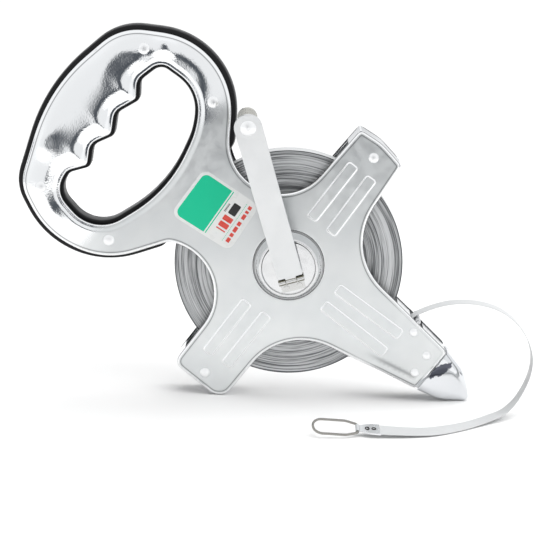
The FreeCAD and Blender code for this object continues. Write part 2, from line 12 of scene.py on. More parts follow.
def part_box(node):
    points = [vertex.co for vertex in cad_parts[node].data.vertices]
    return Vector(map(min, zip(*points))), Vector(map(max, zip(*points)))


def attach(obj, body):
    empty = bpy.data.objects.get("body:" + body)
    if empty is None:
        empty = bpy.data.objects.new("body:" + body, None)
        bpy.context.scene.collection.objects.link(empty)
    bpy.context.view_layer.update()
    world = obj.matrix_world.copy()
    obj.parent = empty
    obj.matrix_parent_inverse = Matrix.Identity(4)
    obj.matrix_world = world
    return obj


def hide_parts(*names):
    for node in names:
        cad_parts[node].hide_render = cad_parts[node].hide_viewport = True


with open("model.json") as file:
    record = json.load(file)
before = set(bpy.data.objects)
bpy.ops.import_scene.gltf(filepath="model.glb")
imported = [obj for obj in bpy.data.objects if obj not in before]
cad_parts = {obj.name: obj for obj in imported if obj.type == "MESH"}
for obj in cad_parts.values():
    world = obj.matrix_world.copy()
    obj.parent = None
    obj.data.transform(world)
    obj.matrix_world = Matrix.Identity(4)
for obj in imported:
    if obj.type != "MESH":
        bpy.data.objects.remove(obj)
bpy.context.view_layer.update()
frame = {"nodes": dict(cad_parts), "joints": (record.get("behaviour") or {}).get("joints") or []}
NODES = frame["nodes"]

MM = 0.001
coil_low, coil_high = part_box("tape_coil")
HUB = (coil_low + coil_high) / 2
HUB_AT = np.array(HUB) / MM

# depths of the plates' outer and inner faces from the hub's middle, in millimetres; minus is the front
OUTER = 13.5
INNER = 12.3


def hub_mm(node):
    """Vertices of a CAD node in millimetres about the hub's middle."""
    mesh = NODES[node].data
    points = np.empty(len(mesh.vertices) * 3)
    mesh.vertices.foreach_get("co", points)
    return points.reshape(-1, 3) / MM - HUB_AT


# ---------------------------------------------------------------- materials

class Tree:
    """A node tree, with short ways to add and join nodes."""

    def __init__(self, tree):
        self.tree = tree

    def add(self, kind, **inputs):
        node = self.tree.nodes.new("ShaderNode" + kind)
        for key, value in inputs.items():
            self.feed(node, key, value)
        return node

    def feed(self, node, key, value):
        socket = node.inputs[int(key[1:])] if key[0] == "_" else node.inputs[key]
        if hasattr(value, "is_output"):
            self.tree.links.new(value, socket)
        else:
            socket.default_value = value

    def math(self, operation, first, second=0.0):
        node = self.add("Math", _0=first, _1=second)
        node.operation = operation
        return node.outputs[0]

    def ramp(self, value, low, high, to_low=0.0, to_high=1.0):
        node = self.add("MapRange", Value=value)
        node.interpolation_type = "SMOOTHSTEP"
        node.inputs["From Min"].default_value = low
        node.inputs["From Max"].default_value = high
        self.feed(node, "To Min", to_low)
        self.feed(node, "To Max", to_high)
        return node.outputs[0]

    def mix(self, share, first, second):
        node = self.add("Mix")
        node.data_type = "RGBA"
        self.feed(node, "_0", share)
        for key, value in (("_6", first), ("_7", second)):
            self.feed(node, key, value if hasattr(value, "is_output") else (*value, 1.0))
        return node.outputs[2]

    def blend(self, share, first, second):
        """Mix of two values; share 0 gives the first."""
        return self.add("Mix", _0=share, _2=first, _3=second).outputs[0]

    def dot(self, east, north, way):
        """How far a place, given by its two parts, lies along a way across the front."""
        return self.math("ADD", self.math("MULTIPLY", east, way[0]), self.math("MULTIPLY", north, way[1]))


class Nodes(Tree):
    """A material made of a Principled shader and what feeds it."""

    def __init__(self, name):
        self.material = bpy.data.materials.new(name)
        self.material.use_nodes = True
        super().__init__(self.material.node_tree)
        self.shader = self.tree.nodes["Principled BSDF"]
        self.place = None

    def where(self):
        """Position on the object; a vector in metres."""
        if self.place is None:
            self.place = self.add("TexCoord").outputs["Object"]
        return self.place

    def across_front(self, x=0.0, z=0.0):
        """Position across the front about a point given in millimetres from the hub's middle."""
        split = self.add("SeparateXYZ", Vector=self.where())
        east = self.math("SUBTRACT", split.outputs[0], HUB.x + x * MM)
        return east, self.math("SUBTRACT", split.outputs[2], HUB.z + z * MM)

    def noise(self, scale, detail=2.0, rough=0.5, vector=None):
        place = vector or self.where()
        node = self.add("TexNoise", Vector=place, Scale=scale, Detail=detail, Roughness=rough)
        return node.outputs["Fac"]

    def attribute(self, name):
        node = self.add("Attribute")
        node.attribute_name = name
        return node.outputs["Fac"]

    def bump(self, height, strength, distance):
        node = self.add("Bump", Height=height, Strength=strength, Distance=distance)
        self.tree.links.new(node.outputs["Normal"], self.shader.inputs["Normal"])

    def set(self, **inputs):
        for key, value in inputs.items():
            name = key.replace("_", " ")
            if isinstance(value, tuple):
                value = (*value, 1.0)
            self.feed(self.shader, name, value)


# height of the fine grain in metres
GRAIN_DEPTH = 0.0002


def metal(name, colour, rough, spread, grain, bump, mottle):
    """Plated metal: near-even colour, roughness that wanders, and a fine pressed grain."""
    made = Nodes(name)
    clouds = made.noise(38.0, 3.0)
    darker = tuple(c * (1 - 2 * mottle) for c in colour)
    made.set(Metallic=1.0, Base_Color=made.mix(made.ramp(clouds, 0.3, 0.7), darker, colour))
    wander = made.noise(120.0, 4.0, 0.6)
    made.set(Roughness=made.ramp(wander, 0.3, 0.7, max(0.02, rough - spread), rough + spread))
    made.bump(made.noise(grain, 2.0), bump, GRAIN_DEPTH)
    return made.material


def plastic(name, colour, rough, grain=1400.0, bump=0.15, mottle=0.12, gloss=0.5):
    """Moulded or coated surface with a fine grain and slight changes of gloss."""
    made = Nodes(name)
    clouds = made.noise(60.0, 3.0)
    lighter = tuple(min(1.0, c * (1 + mottle) + 0.002) for c in colour)
    made.set(Base_Color=made.mix(made.ramp(clouds, 0.35, 0.65), colour, lighter))
    made.set(Roughness=made.ramp(made.noise(220.0, 3.0), 0.3, 0.7, rough - 0.06, rough + 0.08))
    made.bump(made.noise(grain, 3.0), bump, GRAIN_DEPTH)
    made.set(Specular_IOR_Level=gloss)
    return made.material


# along this way across the plate the body's satin gives way to the handle's chrome, between two
# distances from the hub in metres
HANDLE_WAY = (-0.729, 0.684)
SATIN_ENDS = 0.106
CHROME_STARTS = 0.118
SATIN_SHADES = ((0.69, 0.71, 0.715), (0.745, 0.76, 0.76))
# colour of the polished rib walls and rolled borders, lightened as a painted highlight
POLISH_HIGHLIGHT = (0.96, 0.965, 0.97)
CHROMED = (0.93, 0.94, 0.95)
# colour of the painted shade along the rolled borders, round the hub hole and beside the nose's bend
PAINTED_SHADE_COLOUR = (0.06, 0.063, 0.068)
# the flat satin stays rougher than 0.28, because spots just below that came out as specks
SATIN_ROUGH = (0.29, 0.37)
EDGE_ROUGH = 0.16
CHROME_ROUGH = (0.045, 0.10)


def plate_material():
    """Pressed plate: mirror chrome round the handle and satin nickel on the body, with painted highlights
    on its polished edges and painted shade along its rolled borders.
    """
    made = Nodes("pressed_plate")
    chrome = made.ramp(made.dot(*made.across_front(), HANDLE_WAY), SATIN_ENDS, CHROME_STARTS)
    satin = made.mix(made.ramp(made.noise(26.0, 3.0), 0.3, 0.7), *SATIN_SHADES)
    # polished rib walls and rolled borders: less rough, and lighter in colour as a painted highlight
    polish_and_highlight = made.ramp(made.attribute("polish_and_highlight"), 0.2, 0.9)
    plated = made.mix(chrome, made.mix(polish_and_highlight, satin, POLISH_HIGHLIGHT), CHROMED)
    # dark lines of painted shade along the rolled borders, round the hub hole and beside the nose's bend
    made.set(Metallic=1.0, Base_Color=made.mix(made.attribute("painted_shade"), plated, PAINTED_SHADE_COLOUR))
    wander = made.noise(140.0, 2.0, 0.5)
    satin_rough = made.blend(polish_and_highlight, made.ramp(wander, 0.3, 0.7, *SATIN_ROUGH), EDGE_ROUGH)
    made.set(Roughness=made.blend(chrome, satin_rough, made.ramp(wander, 0.3, 0.7, *CHROME_ROUGH)))
    height = made.blend(chrome, made.noise(45.0, 0.0), made.noise(1000.0, 2.0))
    made.bump(height, made.ramp(chrome, 0.0, 1.0, 0.05, 0.20), 0.00025)
    return made.material


# the nose tip's painted reflection, a dark patch beside its seam: middle, way and half sizes in
# millimetres, and how ragged it is
REFLECTION_PATCH_AT = (109.6, -71.6)
REFLECTION_PATCH_WAY = (0.837, 0.547)
REFLECTION_PATCH_HALF = (10.0, 3.9)
REFLECTION_PATCH_RAGGED = 1.9


def nose_material():
    """Bright nickel with a dark ragged patch beside the seam, a painted reflection."""
    made = Nodes("nose_nickel")
    place = made.across_front(*REFLECTION_PATCH_AT)
    squares = []
    for way, half in zip((REFLECTION_PATCH_WAY, (-REFLECTION_PATCH_WAY[1], REFLECTION_PATCH_WAY[0])), REFLECTION_PATCH_HALF):
        share = made.math("MULTIPLY", made.dot(*place, way), 1.0 / (half * MM))
        squares.append(made.math("MULTIPLY", share, share))
    ragged = made.math("MULTIPLY", made.noise(330.0, 3.0, 0.6), REFLECTION_PATCH_RAGGED)
    reach = made.math("ADD", made.math("ADD", *squares), ragged)
    # painted reflection: the dark ragged patch on the bright nickel
    dark = made.ramp(reach, 1.55, 1.8, 1.0, 0.0)
    made.set(Metallic=1.0, Base_Color=made.mix(dark, (0.75, 0.765, 0.785), (0.10, 0.105, 0.13)))
    made.set(Roughness=made.ramp(made.noise(120.0, 2.0), 0.3, 0.7, 0.07, 0.13))
    return made.material


# name, colour, roughness and how far it wanders, then the grain's fineness and height, and the mottling
PALE = metal("crank_nickel", (0.71, 0.72, 0.725), 0.36, 0.05, 1200.0, 0.08, 0.012)
HUB_METAL = metal("hub_nickel", (0.74, 0.745, 0.75), 0.14, 0.04, 900.0, 0.06, 0.03)
STRAP = metal("strap_nickel", (0.66, 0.66, 0.65), 0.22, 0.05, 900.0, 0.06, 0.03)
BRASSY = metal("hinge_nickel", (0.20, 0.19, 0.14), 0.10, 0.04, 900.0, 0.06, 0.04)
RIVET = metal("rivet_steel", (0.94, 0.945, 0.95), 0.34, 0.05, 1200.0, 0.06, 0.01)
BRIGHT = metal("bright_steel", (0.84, 0.85, 0.865), 0.09, 0.03, 700.0, 0.05, 0.01)
KNURL = metal("knurled_nickel", (0.60, 0.59, 0.55), 0.30, 0.06, 900.0, 0.08, 0.05)
ZINC = metal("zinc_steel", (0.60, 0.61, 0.62), 0.34, 0.07, 900.0, 0.10, 0.06)
WIRE = metal("bright_wire", (0.34, 0.33, 0.31), 0.06, 0.04, 900.0, 0.05, 0.02)
EYELET = metal("blackened_steel", (0.055, 0.052, 0.05), 0.38, 0.08, 900.0, 0.12, 0.1)
BLACK = plastic("black_grip", (0.006, 0.006, 0.007), 0.34, 1400.0, 0.08, 0.12, 0.22)
BUSH = plastic("bush_plastic", (0.36, 0.365, 0.37), 0.30)
PLATE = plate_material()
NOSE = nose_material()


# ---------------------------------------------------------------- mesh helpers

def placed(name, data):
    """New object in the scene."""
    made = bpy.data.objects.new(name, data)
    bpy.context.scene.collection.objects.link(made)
    return made


def take_materials(mesh, materials, indices):
    """Give a mesh one material or several, and each face its number among them."""
    mesh.materials.clear()
    for material in materials if isinstance(materials, (list, tuple)) else [materials]:
        mesh.materials.append(material)
    if indices is not None:
        mesh.polygons.foreach_set("material_index", indices)


def new_piece(name, points, faces, materials, body, replaces=(), sharp=32.0, indices=None):
    """Mesh piece from hub-centred millimetres; it rides on a body."""
    mesh = bpy.data.meshes.new(name)
    in_metres = (np.asarray(points, float) + HUB_AT) * MM
    mesh.from_pydata(in_metres.tolist(), [], [tuple(f) for f in faces])
    take_materials(mesh, materials, indices)
    mesh.validate()
    mesh.update()
    tidy_normals(mesh, sharp)
    piece = placed(name, mesh)
    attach(piece, body)
    if replaces:
        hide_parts(*replaces)
    return piece


def joint_line(name):
    """A joint's point in metres and its axis, as the frame gives them."""
    joint = next(j for j in frame["joints"] if j["name"] == name)
    return np.array(joint["pos_m"], float), np.array(joint["axis"], float)


def circle(middle, first, second, radius, count):
    """Points round a circle in the plane of two ways."""
    turns = 2 * math.pi * np.arange(count) / count
    return [middle + (first * math.cos(t) + second * math.sin(t)) * radius for t in turns]


def skin(before, after):
    """Faces between two closed rows of points that are given by their numbers."""
    count = len(before)
    return [(before[i], before[(i + 1) % count], after[(i + 1) % count], after[i]) for i in range(count)]


def tidy_normals(mesh, sharp):
    """Face outward everywhere, smooth but for edges sharper than the angle in degrees."""
    work = bmesh.new()
    work.from_mesh(mesh)
    bmesh.ops.recalc_face_normals(work, faces=work.faces)
    work.to_mesh(mesh)
    work.free()
    mesh.polygons.foreach_set("use_smooth", [True] * len(mesh.polygons))
    mesh.set_sharp_from_angle(angle=math.radians(sharp))


class Heap:
    """Collects the vertices and faces of one piece from several simple shapes."""

    def __init__(self):
        self.points = []
        self.faces = []
        self.indices = []

    def add(self, points, faces, index=0):
        start = len(self.points)
        self.points += [tuple(p) for p in points]
        self.faces += [tuple(start + v for v in face) for face in faces]
        self.indices += [index] * len(faces)

    def sweep(self, rings, ends=True, index=0):
        """Skin between closed rings that each have the same number of points."""
        count = len(rings[0])
        rows = [list(range(r * count, (r + 1) * count)) for r in range(len(rings))]
        faces = []
        for before, after in zip(rows, rows[1:]):
            faces += skin(before, after)
        if ends:
            faces += [tuple(rows[0]), tuple(reversed(rows[-1]))]
        self.add([p for ring in rings for p in ring], faces, index)

    def turned(self, profile, segments, place=(0, 0, 0), axis=(0, 1, 0), ripple=None):
        """Turn a (radius, height) profile about an axis through a place; both ends are closed flat."""
        axis = np.array(axis, float)
        axis /= np.linalg.norm(axis)
        side = np.cross(axis, (1, 0, 0) if abs(axis[0]) < 0.9 else (0, 0, 1))
        side /= np.linalg.norm(side)
        other = np.cross(axis, side)
        rings = []
        for radius, height in profile:
            ring = []
            for i in range(segments):
                angle = 2 * math.pi * i / segments
                out = radius + (ripple(radius, height, angle) if ripple else 0.0)
                way = side * math.cos(angle) + other * math.sin(angle)
                ring.append(np.array(place) + axis * height + way * out)
            rings.append(ring)
        self.sweep(rings)

    def piece(self, name, materials, body, slot, replaces=(), sharp=32.0):
        return new_piece(name, self.points, self.faces, materials, body, replaces, sharp,
                         self.indices)


def axis_distance(points, joint):
    """Distance in metres of each point from a joint's axis."""
    place, axis = joint_line(joint)
    gaps = np.asarray(points, float) - place
    return np.linalg.norm(gaps - (gaps @ axis)[:, None] * axis, axis=1)


# a face whose normal's depth part is below this one faces the front; on the hinge's barrel such faces take
# a lighter metal as a painted highlight
FRONT_FACING = -0.86


def refined(node, bevel, materials, body, name, segments=2, sharp=32.0, barrel=None):
    """Piece with a CAD node's shape and its sharp edges rounded off by a small bevel.

    The faces within a reach of a joint's axis, given as (joint, millimetres), take the second material,
    and those of them that face the front take the third, a lighter metal that paints a highlight.
    """
    source = NODES[node].data
    work = bmesh.new()
    work.from_mesh(source)
    bmesh.ops.remove_doubles(work, verts=work.verts, dist=1e-6)
    bmesh.ops.dissolve_limit(work, angle_limit=math.radians(1.0), verts=work.verts, edges=work.edges)
    edges = []
    for edge in work.edges:
        if len(edge.link_faces) == 2 and edge.calc_face_angle(0) > math.radians(sharp):
            edges.append(edge)
    if bevel and edges:
        bmesh.ops.bevel(work, geom=edges, offset=bevel * MM, segments=segments, profile=0.5,
                        affect="EDGES", clamp_overlap=True)
    mesh = bpy.data.meshes.new(name)
    work.to_mesh(mesh)
    work.free()
    indices = np.zeros(len(mesh.polygons), int)
    if barrel:
        corners = np.array([tuple(v.co) for v in mesh.vertices])
        near = axis_distance(corners, barrel[0]) < barrel[1] * MM
        for polygon in mesh.polygons:
            if all(near[v] for v in polygon.vertices):
                indices[polygon.index] = 2 if polygon.normal.y < FRONT_FACING else 1
    take_materials(mesh, materials, indices)
    mesh.update()
    tidy_normals(mesh, 40.0)
    piece = placed(name, mesh)
    even_normals(piece)
    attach(piece, body)
    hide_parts(node)
    return piece


# ---------------------------------------------------------------- outlines read from the CAD plates

# vertices this close to a depth, in millimetres, lie at it
SAME_DEPTH = 0.02


def face_loops(node, depth):
    """Closed outlines (x, z) of a node's flat face at a depth, the one with the largest area first."""
    points = hub_mm(node)
    keys = {}
    flat = {}
    for index, point in enumerate(points):
        if abs(point[1] - depth) < SAME_DEPTH:
            key = (round(float(point[0]), 3), round(float(point[2]), 3))
            flat[index] = keys.setdefault(key, len(keys))
    places = np.array(list(keys))
    ahead = set()
    for polygon in NODES[node].data.polygons:
        corners = list(polygon.vertices)
        if all(v in flat for v in corners):
            ids = [flat[v] for v in corners]
            for a, b in zip(ids, ids[1:] + ids[:1]):
                ahead.add((a, b))
    border = {a: b for a, b in ahead if (b, a) not in ahead}
    loops = []
    while border:
        start, at = border.popitem()
        chain = [start]
        while at != start:
            chain.append(at)
            at = border.pop(at)
        loops.append(places[chain])
    return sorted(loops, key=lambda loop: -abs(area_of(loop)))


def area_of(loop):
    x, z = loop[:, 0], loop[:, 1]
    return 0.5 * float(np.sum(x * np.roll(z, -1) - np.roll(x, -1) * z))


def even_loop(loop, step, smooth=2):
    """The loop at even steps, run counter-clockwise, its corners softened a little."""
    if area_of(loop) < 0:
        loop = loop[::-1]
    closed = np.vstack([loop, loop[:1]])
    lengths = np.linalg.norm(np.diff(closed, axis=0), axis=1)
    done = np.concatenate([[0.0], np.cumsum(lengths)])
    count = max(12, int(round(done[-1] / step)))
    at = np.arange(count) * done[-1] / count
    even = np.column_stack([np.interp(at, done, closed[:, k]) for k in (0, 1)])
    for _ in range(smooth):
        even = 0.5 * even + 0.25 * np.roll(even, 1, axis=0) + 0.25 * np.roll(even, -1, axis=0)
    return even


def outward(loop):
    """Unit vectors square to a counter-clockwise loop, pointing out of it."""
    along = np.roll(loop, -1, axis=0) - np.roll(loop, 1, axis=0)
    along /= np.linalg.norm(along, axis=1)[:, None]
    return np.column_stack([along[:, 1], -along[:, 0]])


def inside(points, loop):
    """True for each point that lies inside the loop."""
    x, z = points[:, 0], points[:, 1]
    result = np.zeros(len(points), bool)
    for (ax, az), (bx, bz) in zip(loop, np.roll(loop, -1, axis=0)):
        crosses = (az > z) != (bz > z)
        if bz != az:
            result ^= crosses & (x < (bx - ax) * (z - az) / (bz - az) + ax)
    return result


def distance(points, loop):
    """Distance of each point from the closed line of a loop."""
    best = np.full(len(points), 1e9)
    ends = np.roll(loop, -1, axis=0)
    for start, end in zip(loop, ends):
        run = end - start
        share = np.clip((points - start) @ run / max(run @ run, 1e-12), 0, 1)
        gap = points - start - share[:, None] * run
        best = np.minimum(best, np.einsum("ij,ij->i", gap, gap))
    return np.sqrt(best)


def step_up(value, low, high):
    share = np.clip((value - low) / (high - low), 0, 1)
    return share * share * (3 - 2 * share)


def triangulate(outline, holes, extra):
    """Triangles over the outline less its holes; returns points and faces, borders first."""
    borders = [outline] + holes
    points = np.vstack(borders + [extra])
    edges = []
    start = 0
    for loop in borders:
        count = len(loop)
        edges += [(start + i, start + (i + 1) % count) for i in range(count)]
        start += count
    verts, _, faces, _, _, _ = delaunay_2d_cdt([Vector(p) for p in points], edges, [], 0, 1e-5)
    flat = np.array([tuple(v) for v in verts])
    faces = np.array([list(f) for f in faces])
    middles = flat[faces].mean(axis=1)
    keep = inside(middles, outline)
    for hole in holes:
        keep &= ~inside(middles, hole)
    return flat, faces[keep]


def spread_out(points, gap):
    """The points in order, less each one that comes closer than the gap to one kept before it."""
    cells = {}
    kept = []
    for point in points:
        column, row = int(point[0] // gap), int(point[1] // gap)
        near = []
        for a in (-1, 0, 1):
            for b in (-1, 0, 1):
                near += cells.get((column + a, row + b), [])
        if all((point[0] - q[0]) ** 2 + (point[1] - q[1]) ** 2 >= gap * gap for q in near):
            cells.setdefault((column, row), []).append(point)
            kept.append(point)
    return np.array(kept)


def hex_grid(low, high, step):
    rows = []
    tall = step * math.sqrt(3) / 2
    for r in range(int((high[1] - low[1]) / tall) + 1):
        x = np.arange(low[0] + (r % 2) * step / 2, high[0], step)
        rows.append(np.column_stack([x, np.full(len(x), low[1] + r * tall)]))
    return np.vstack(rows)


# ---------------------------------------------------------------- pressed plates

# the border: its roll's radius and flange, what share of them is left beside the guide roller and how
# far from its middle that fades, where the painted line of shade lies, the sheet's thickness, and the
# holes' borders
ROLL = 1.6
FLANGE = 0.9
NOTCH_DEPTH = 0.4
NOTCH_SPAN = (4.0, 7.0)
SHADE_LINE = 2.45
SHEET = 0.9
HOLE_ROLL = 1.0
HUB_ROLL = 0.8
HOLE_FLANGE = 0.5
# the painted shade: at its darkest, how much less at the nose, the painted line's half width, and the
# painted
# shade beside the bend: its darkness, place beyond the bent width, and half width
DARKEST = 0.9
NOSE_EASE = 0.75
SHADE_LINE_HALF = 0.3
BEND_SHADE = 0.5
BEND_AT = 1.6
BEND_HALF = 1.3
# ribs: half width, corner radius, height in the CAD part and in the pressed sheet
RIB_HALF = 3.8
RIB_CORNER = 1.8
RIB_CAD_HEIGHT = 0.8
RIB_HEIGHT = 0.7
# half width of the polished band along a rib's wall, whose colour is lightened as a painted highlight
WALL_HALF = 0.55
# the sheet's points: their spacing, the least gap kept between any two, how far the even grid, the rows
# round the ribs and all of them stay from the borders, and the rows that follow borders and ribs
GRID = 2.0
LEAST_GAP = 0.24
GRID_FROM_HOLE = 7.6
GRID_FROM_RIB = 2.2
GRID_FROM_EDGE = 6.0
RIBS_FROM_EDGE = 5.6
FROM_EDGE_BORDER = 0.38
FROM_HOLE = 1.6
FROM_HUB_BORDER = 0.6
HOLE_ROWS = (2.0, 2.8, 3.6, 4.4, 5.4, 6.8)
RIB_ROWS = (-1.3, -0.6, -0.3, 0.0, 0.3, 0.6, 1.5)
EDGE_ROWS = (SHADE_LINE - 0.4, SHADE_LINE, SHADE_LINE + 0.4, 3.7, 5.0)
BENT_ROWS = (1.0, 1.6, 2.2)

BORDER_STEP = 1.1
plate_loops = face_loops("front_frame_plate", -INNER)
outline = even_loop(plate_loops[0], BORDER_STEP, 5)
hand_hole = even_loop(plate_loops[1], BORDER_STEP, 2)
hub_hole = even_loop(plate_loops[2], BORDER_STEP, 1)

# the handle's bar is domed: its outer flank's width, how much of the arc it spans, and its border's lean
FLANK = 33.0
FLANK_SPAN = 0.93
FLANK_FULL = 1 - math.sqrt(1 - FLANK_SPAN ** 2)
FLANK_LEAN = math.radians(28.0)
# the dome's drop at its border, and how much that grows with each millimetre of the flank's width
DOME_DROP = 1.6
DOME_SLOPE = 0.055
# falls beside the hand hole: on the bar with the finger steps, and at the hole's own lip
FINGER_DROP = 1.2
FINGER_SPAN = (3.0, 12.0)
LIP_DROP = 1.0
LIP_SPAN = (2.2, 4.6)
# where the handle's dome, the finger side and the bent border fade in, in millimetres from the hub
DOME_FADES = (88.0, 120.0)
FINGER_FADES = (122.0, 145.0)
BENT_FADES = (78.0, 100.0)
# flat spots on the flank: place, reach and the flank's width there
FLAT_SPOTS = [(-121.0, 134.0, 20.0, 11.0), (-90.0, 150.0, 9.0, 6.0), (-171.0, 80.0, 12.0, 5.0)]
# marks of the finger grip: places, height, half width, and how far from the hand hole they are full
FINGER_STEPS = [(-141.1, 64.6), (-125.1, 86.9), (-108.4, 111.8)]
FINGER_DIPS = [(-155.0, 60.3), (-139.4, 79.8), (-123.2, 102.7), (-108.3, 125.0)]
FINGER_MARKS = [(FINGER_STEPS, 0.9, 3.2, 5.0), (FINGER_DIPS, -0.25, 8.0, 6.0)]
MARK_LENGTH = 13.0
# the nose's lower border is bent over more widely than the rest
NOSE_WAY = (0.80, -0.60)
BENT_WIDTH = 6.5
BENT_DROP = 1.5


def rib_boxes():
    """Centre, half length and directions of each raised rib, read from the CAD plate's outer face."""
    boxes = []
    for loop in face_loops("front_frame_plate", -OUTER - RIB_CAD_HEIGHT):
        middle = (loop.max(axis=0) + loop.min(axis=0)) / 2
        spread = loop - middle
        _, _, ways = np.linalg.svd(spread, full_matrices=False)
        along = ways[0]
        across = np.array([-along[1], along[0]])
        boxes.append((middle, float(np.abs(spread @ along).max()), along, across))
    return boxes


RIBS = rib_boxes()


def rib_depth(points):
    """How far each point is inside the nearest rib's outline; negative outside."""
    best = np.full(len(points), -1e3)
    for middle, half, along, across in RIBS:
        a = half - np.abs((points - middle) @ along)
        b = RIB_HALF - np.abs((points - middle) @ across)
        qa, qb = RIB_CORNER - a, RIB_CORNER - b
        outside = np.sqrt(np.maximum(qa, 0) ** 2 + np.maximum(qb, 0) ** 2)
        depth = RIB_CORNER - outside - np.minimum(np.maximum(qa, qb), 0)
        best = np.maximum(best, depth)
    return best


def rounded_box(half_long, half_wide, corner, grow):
    """Points round a rounded oblong that is grown evenly; each growth has its points on the same rays."""
    long_run, wide_run = half_long - corner, half_wide - corner
    steps = max(2, round(2 * long_run / 1.2))
    loop = []
    for turn, (x_from, z_from), (x_to, z_to), count in (
        (0, (long_run, -wide_run), (long_run, wide_run), 3),
        (90, (long_run, wide_run), (-long_run, wide_run), steps),
        (180, (-long_run, wide_run), (-long_run, -wide_run), 3),
        (270, (-long_run, -wide_run), (long_run, -wide_run), steps),
    ):
        feet = [(x_from + (x_to - x_from) * share, z_from + (z_to - z_from) * share, turn)
                for share in np.arange(count) / count]
        feet += [(x_to, z_to, turn + 90 * share) for share in np.arange(5) / 5]
        for x, z, degrees in feet:
            way = math.radians(degrees)
            loop.append((x + (corner + grow) * math.cos(way), z + (corner + grow) * math.sin(way)))
    return loop


def handle_share(points):
    """0 on the body, rising to 1 where the handle's dome is full."""
    return step_up(points @ np.array(HANDLE_WAY), *DOME_FADES)


def finger_share(points):
    """1 on the bar with the finger steps, 0 on the hub side of the hand hole."""
    return step_up(points @ np.array(HANDLE_WAY), *FINGER_FADES)


def bent_share(points):
    """1 along the lower border of the nose's arm, 0 elsewhere."""
    along = points @ np.array(NOSE_WAY)
    beside = points @ np.array([NOSE_WAY[1], -NOSE_WAY[0]])
    return step_up(along, *BENT_FADES) * step_up(beside, 0.0, 8.0)


def rounding(edge, width, drop):
    """Fall of a rounded border at a distance from the rolled edge."""
    share = FLANK_SPAN * np.clip(1 - (edge - ROLL) / width, 0, 1)
    return drop * (1 - np.sqrt(1 - share ** 2)) / FLANK_FULL


def plate_rise(points):
    """Height of the pressed sheet above its flat level, outward, in millimetres."""
    points = np.asarray(points, float)
    edge = distance(points, outline)
    hole = distance(points, hand_hole)
    handle = handle_share(points)
    finger = finger_share(points)
    width = np.full(len(points), FLANK)
    for x, z, reach, narrow in FLAT_SPOTS:
        gap = np.linalg.norm(points - np.array([x, z]), axis=1)
        width -= (width - narrow) * np.exp(-(gap / reach) ** 2)
    rise = -handle * rounding(edge, width, DOME_DROP + DOME_SLOPE * width)
    rise -= bent_share(points) * rounding(edge, BENT_WIDTH, BENT_DROP)
    rise -= finger * FINGER_DROP * (1 - step_up(hole, *FINGER_SPAN))
    rise -= (LIP_DROP - 0.3 * finger) * (1 - step_up(hole, *LIP_SPAN))
    outward_way = np.array(HANDLE_WAY)
    side_way = np.array([-outward_way[1], outward_way[0]])
    for places, height, narrow, full in FINGER_MARKS:
        for place in places:
            gap = points - np.array(place)
            lateral, along = gap @ side_way, gap @ outward_way
            fade = np.exp(-(lateral / narrow) ** 2) * np.exp(-(along / MARK_LENGTH) ** 2) * finger
            rise += height * fade * step_up(hole, 0.5, full)
    rise += RIB_HEIGHT * step_up(rib_depth(points), -0.4, 0.4)
    return rise


def inset_ring(loop, reach):
    """The loop moved by a reach, outward when positive, less the points where it would fold over."""
    ring = loop + outward(loop) * reach
    return ring[distance(ring, loop) > abs(reach) - 0.06]


def plate_domain():
    """Triangles of the sheet inside its rolled edges, with more points where the shape turns."""
    edge_border = outline - outward(outline) * ROLL
    hole_border = hand_hole + outward(hand_hole) * HOLE_ROLL
    hub_border = hub_hole + outward(hub_hole) * HUB_ROLL
    grid = hex_grid(outline.min(axis=0), outline.max(axis=0), GRID)
    grid = grid[inside(grid, outline)]
    grid = grid[~inside(grid, hand_hole) & ~inside(grid, hub_hole)]
    rings = [inset_ring(hand_hole, reach) for reach in HOLE_ROWS]
    rib_rings = []
    for middle, half, along, across in RIBS:
        for grow in RIB_ROWS:
            for x, z in rounded_box(half, RIB_HALF, RIB_CORNER, grow):
                rib_rings.append(middle + along * x + across * z)
    rib_rings = np.array(rib_rings)
    grid = grid[distance(grid, hand_hole) > GRID_FROM_HOLE]
    grid = grid[np.abs(rib_depth(grid)) > GRID_FROM_RIB]
    near_edge = [inset_ring(outline, -reach) for reach in EDGE_ROWS]
    for reach in BENT_ROWS:
        ring = inset_ring(outline, -(BENT_WIDTH + reach))
        near_edge.append(ring[bent_share(ring) > 0.01])
    grid = grid[distance(grid, outline) > GRID_FROM_EDGE]
    ribs_clear = rib_rings[distance(rib_rings, outline) > RIBS_FROM_EDGE]
    extra = np.vstack([ribs_clear] + near_edge + rings + [grid])
    extra = extra[inside(extra, edge_border)]
    extra = extra[distance(extra, edge_border) > FROM_EDGE_BORDER]
    extra = extra[(distance(extra, hand_hole) > FROM_HOLE) & ~inside(extra, hand_hole)]
    extra = extra[(distance(extra, hub_border) > FROM_HUB_BORDER) & ~inside(extra, hub_border)]
    return triangulate(edge_border, [hole_border, hub_border], spread_out(extra, LEAST_GAP))


def turned_depth(loop):
    """Share of the full depth that a border is turned down; less beside the guide roller, to clear it."""
    roller = hub_mm("tape_guide_roller")[:, (0, 2)]
    middle = (roller.max(axis=0) + roller.min(axis=0)) / 2
    gap = np.linalg.norm(loop - middle, axis=1)
    return NOTCH_DEPTH + (1 - NOTCH_DEPTH) * step_up(gap, *NOTCH_SPAN)


def roll_rows(border, way, reach, lean, level, flange, depth):
    """Rows of points that turn the sheet's border down over a rolled edge and a short flange."""
    rows = []
    steps = 6
    for step in range(1, steps + 1):
        turn = lean + (math.pi / 2 - lean) * step / steps
        out = reach * (np.sin(turn) - np.sin(lean)) / (1 - np.sin(lean))
        drop = reach / (1 - np.sin(lean)) * (np.cos(lean) - np.cos(turn))
        rows.append((border + way * out[:, None], level - drop * depth))
    rows.append((rows[-1][0], rows[-1][1] - flange * depth))
    return rows


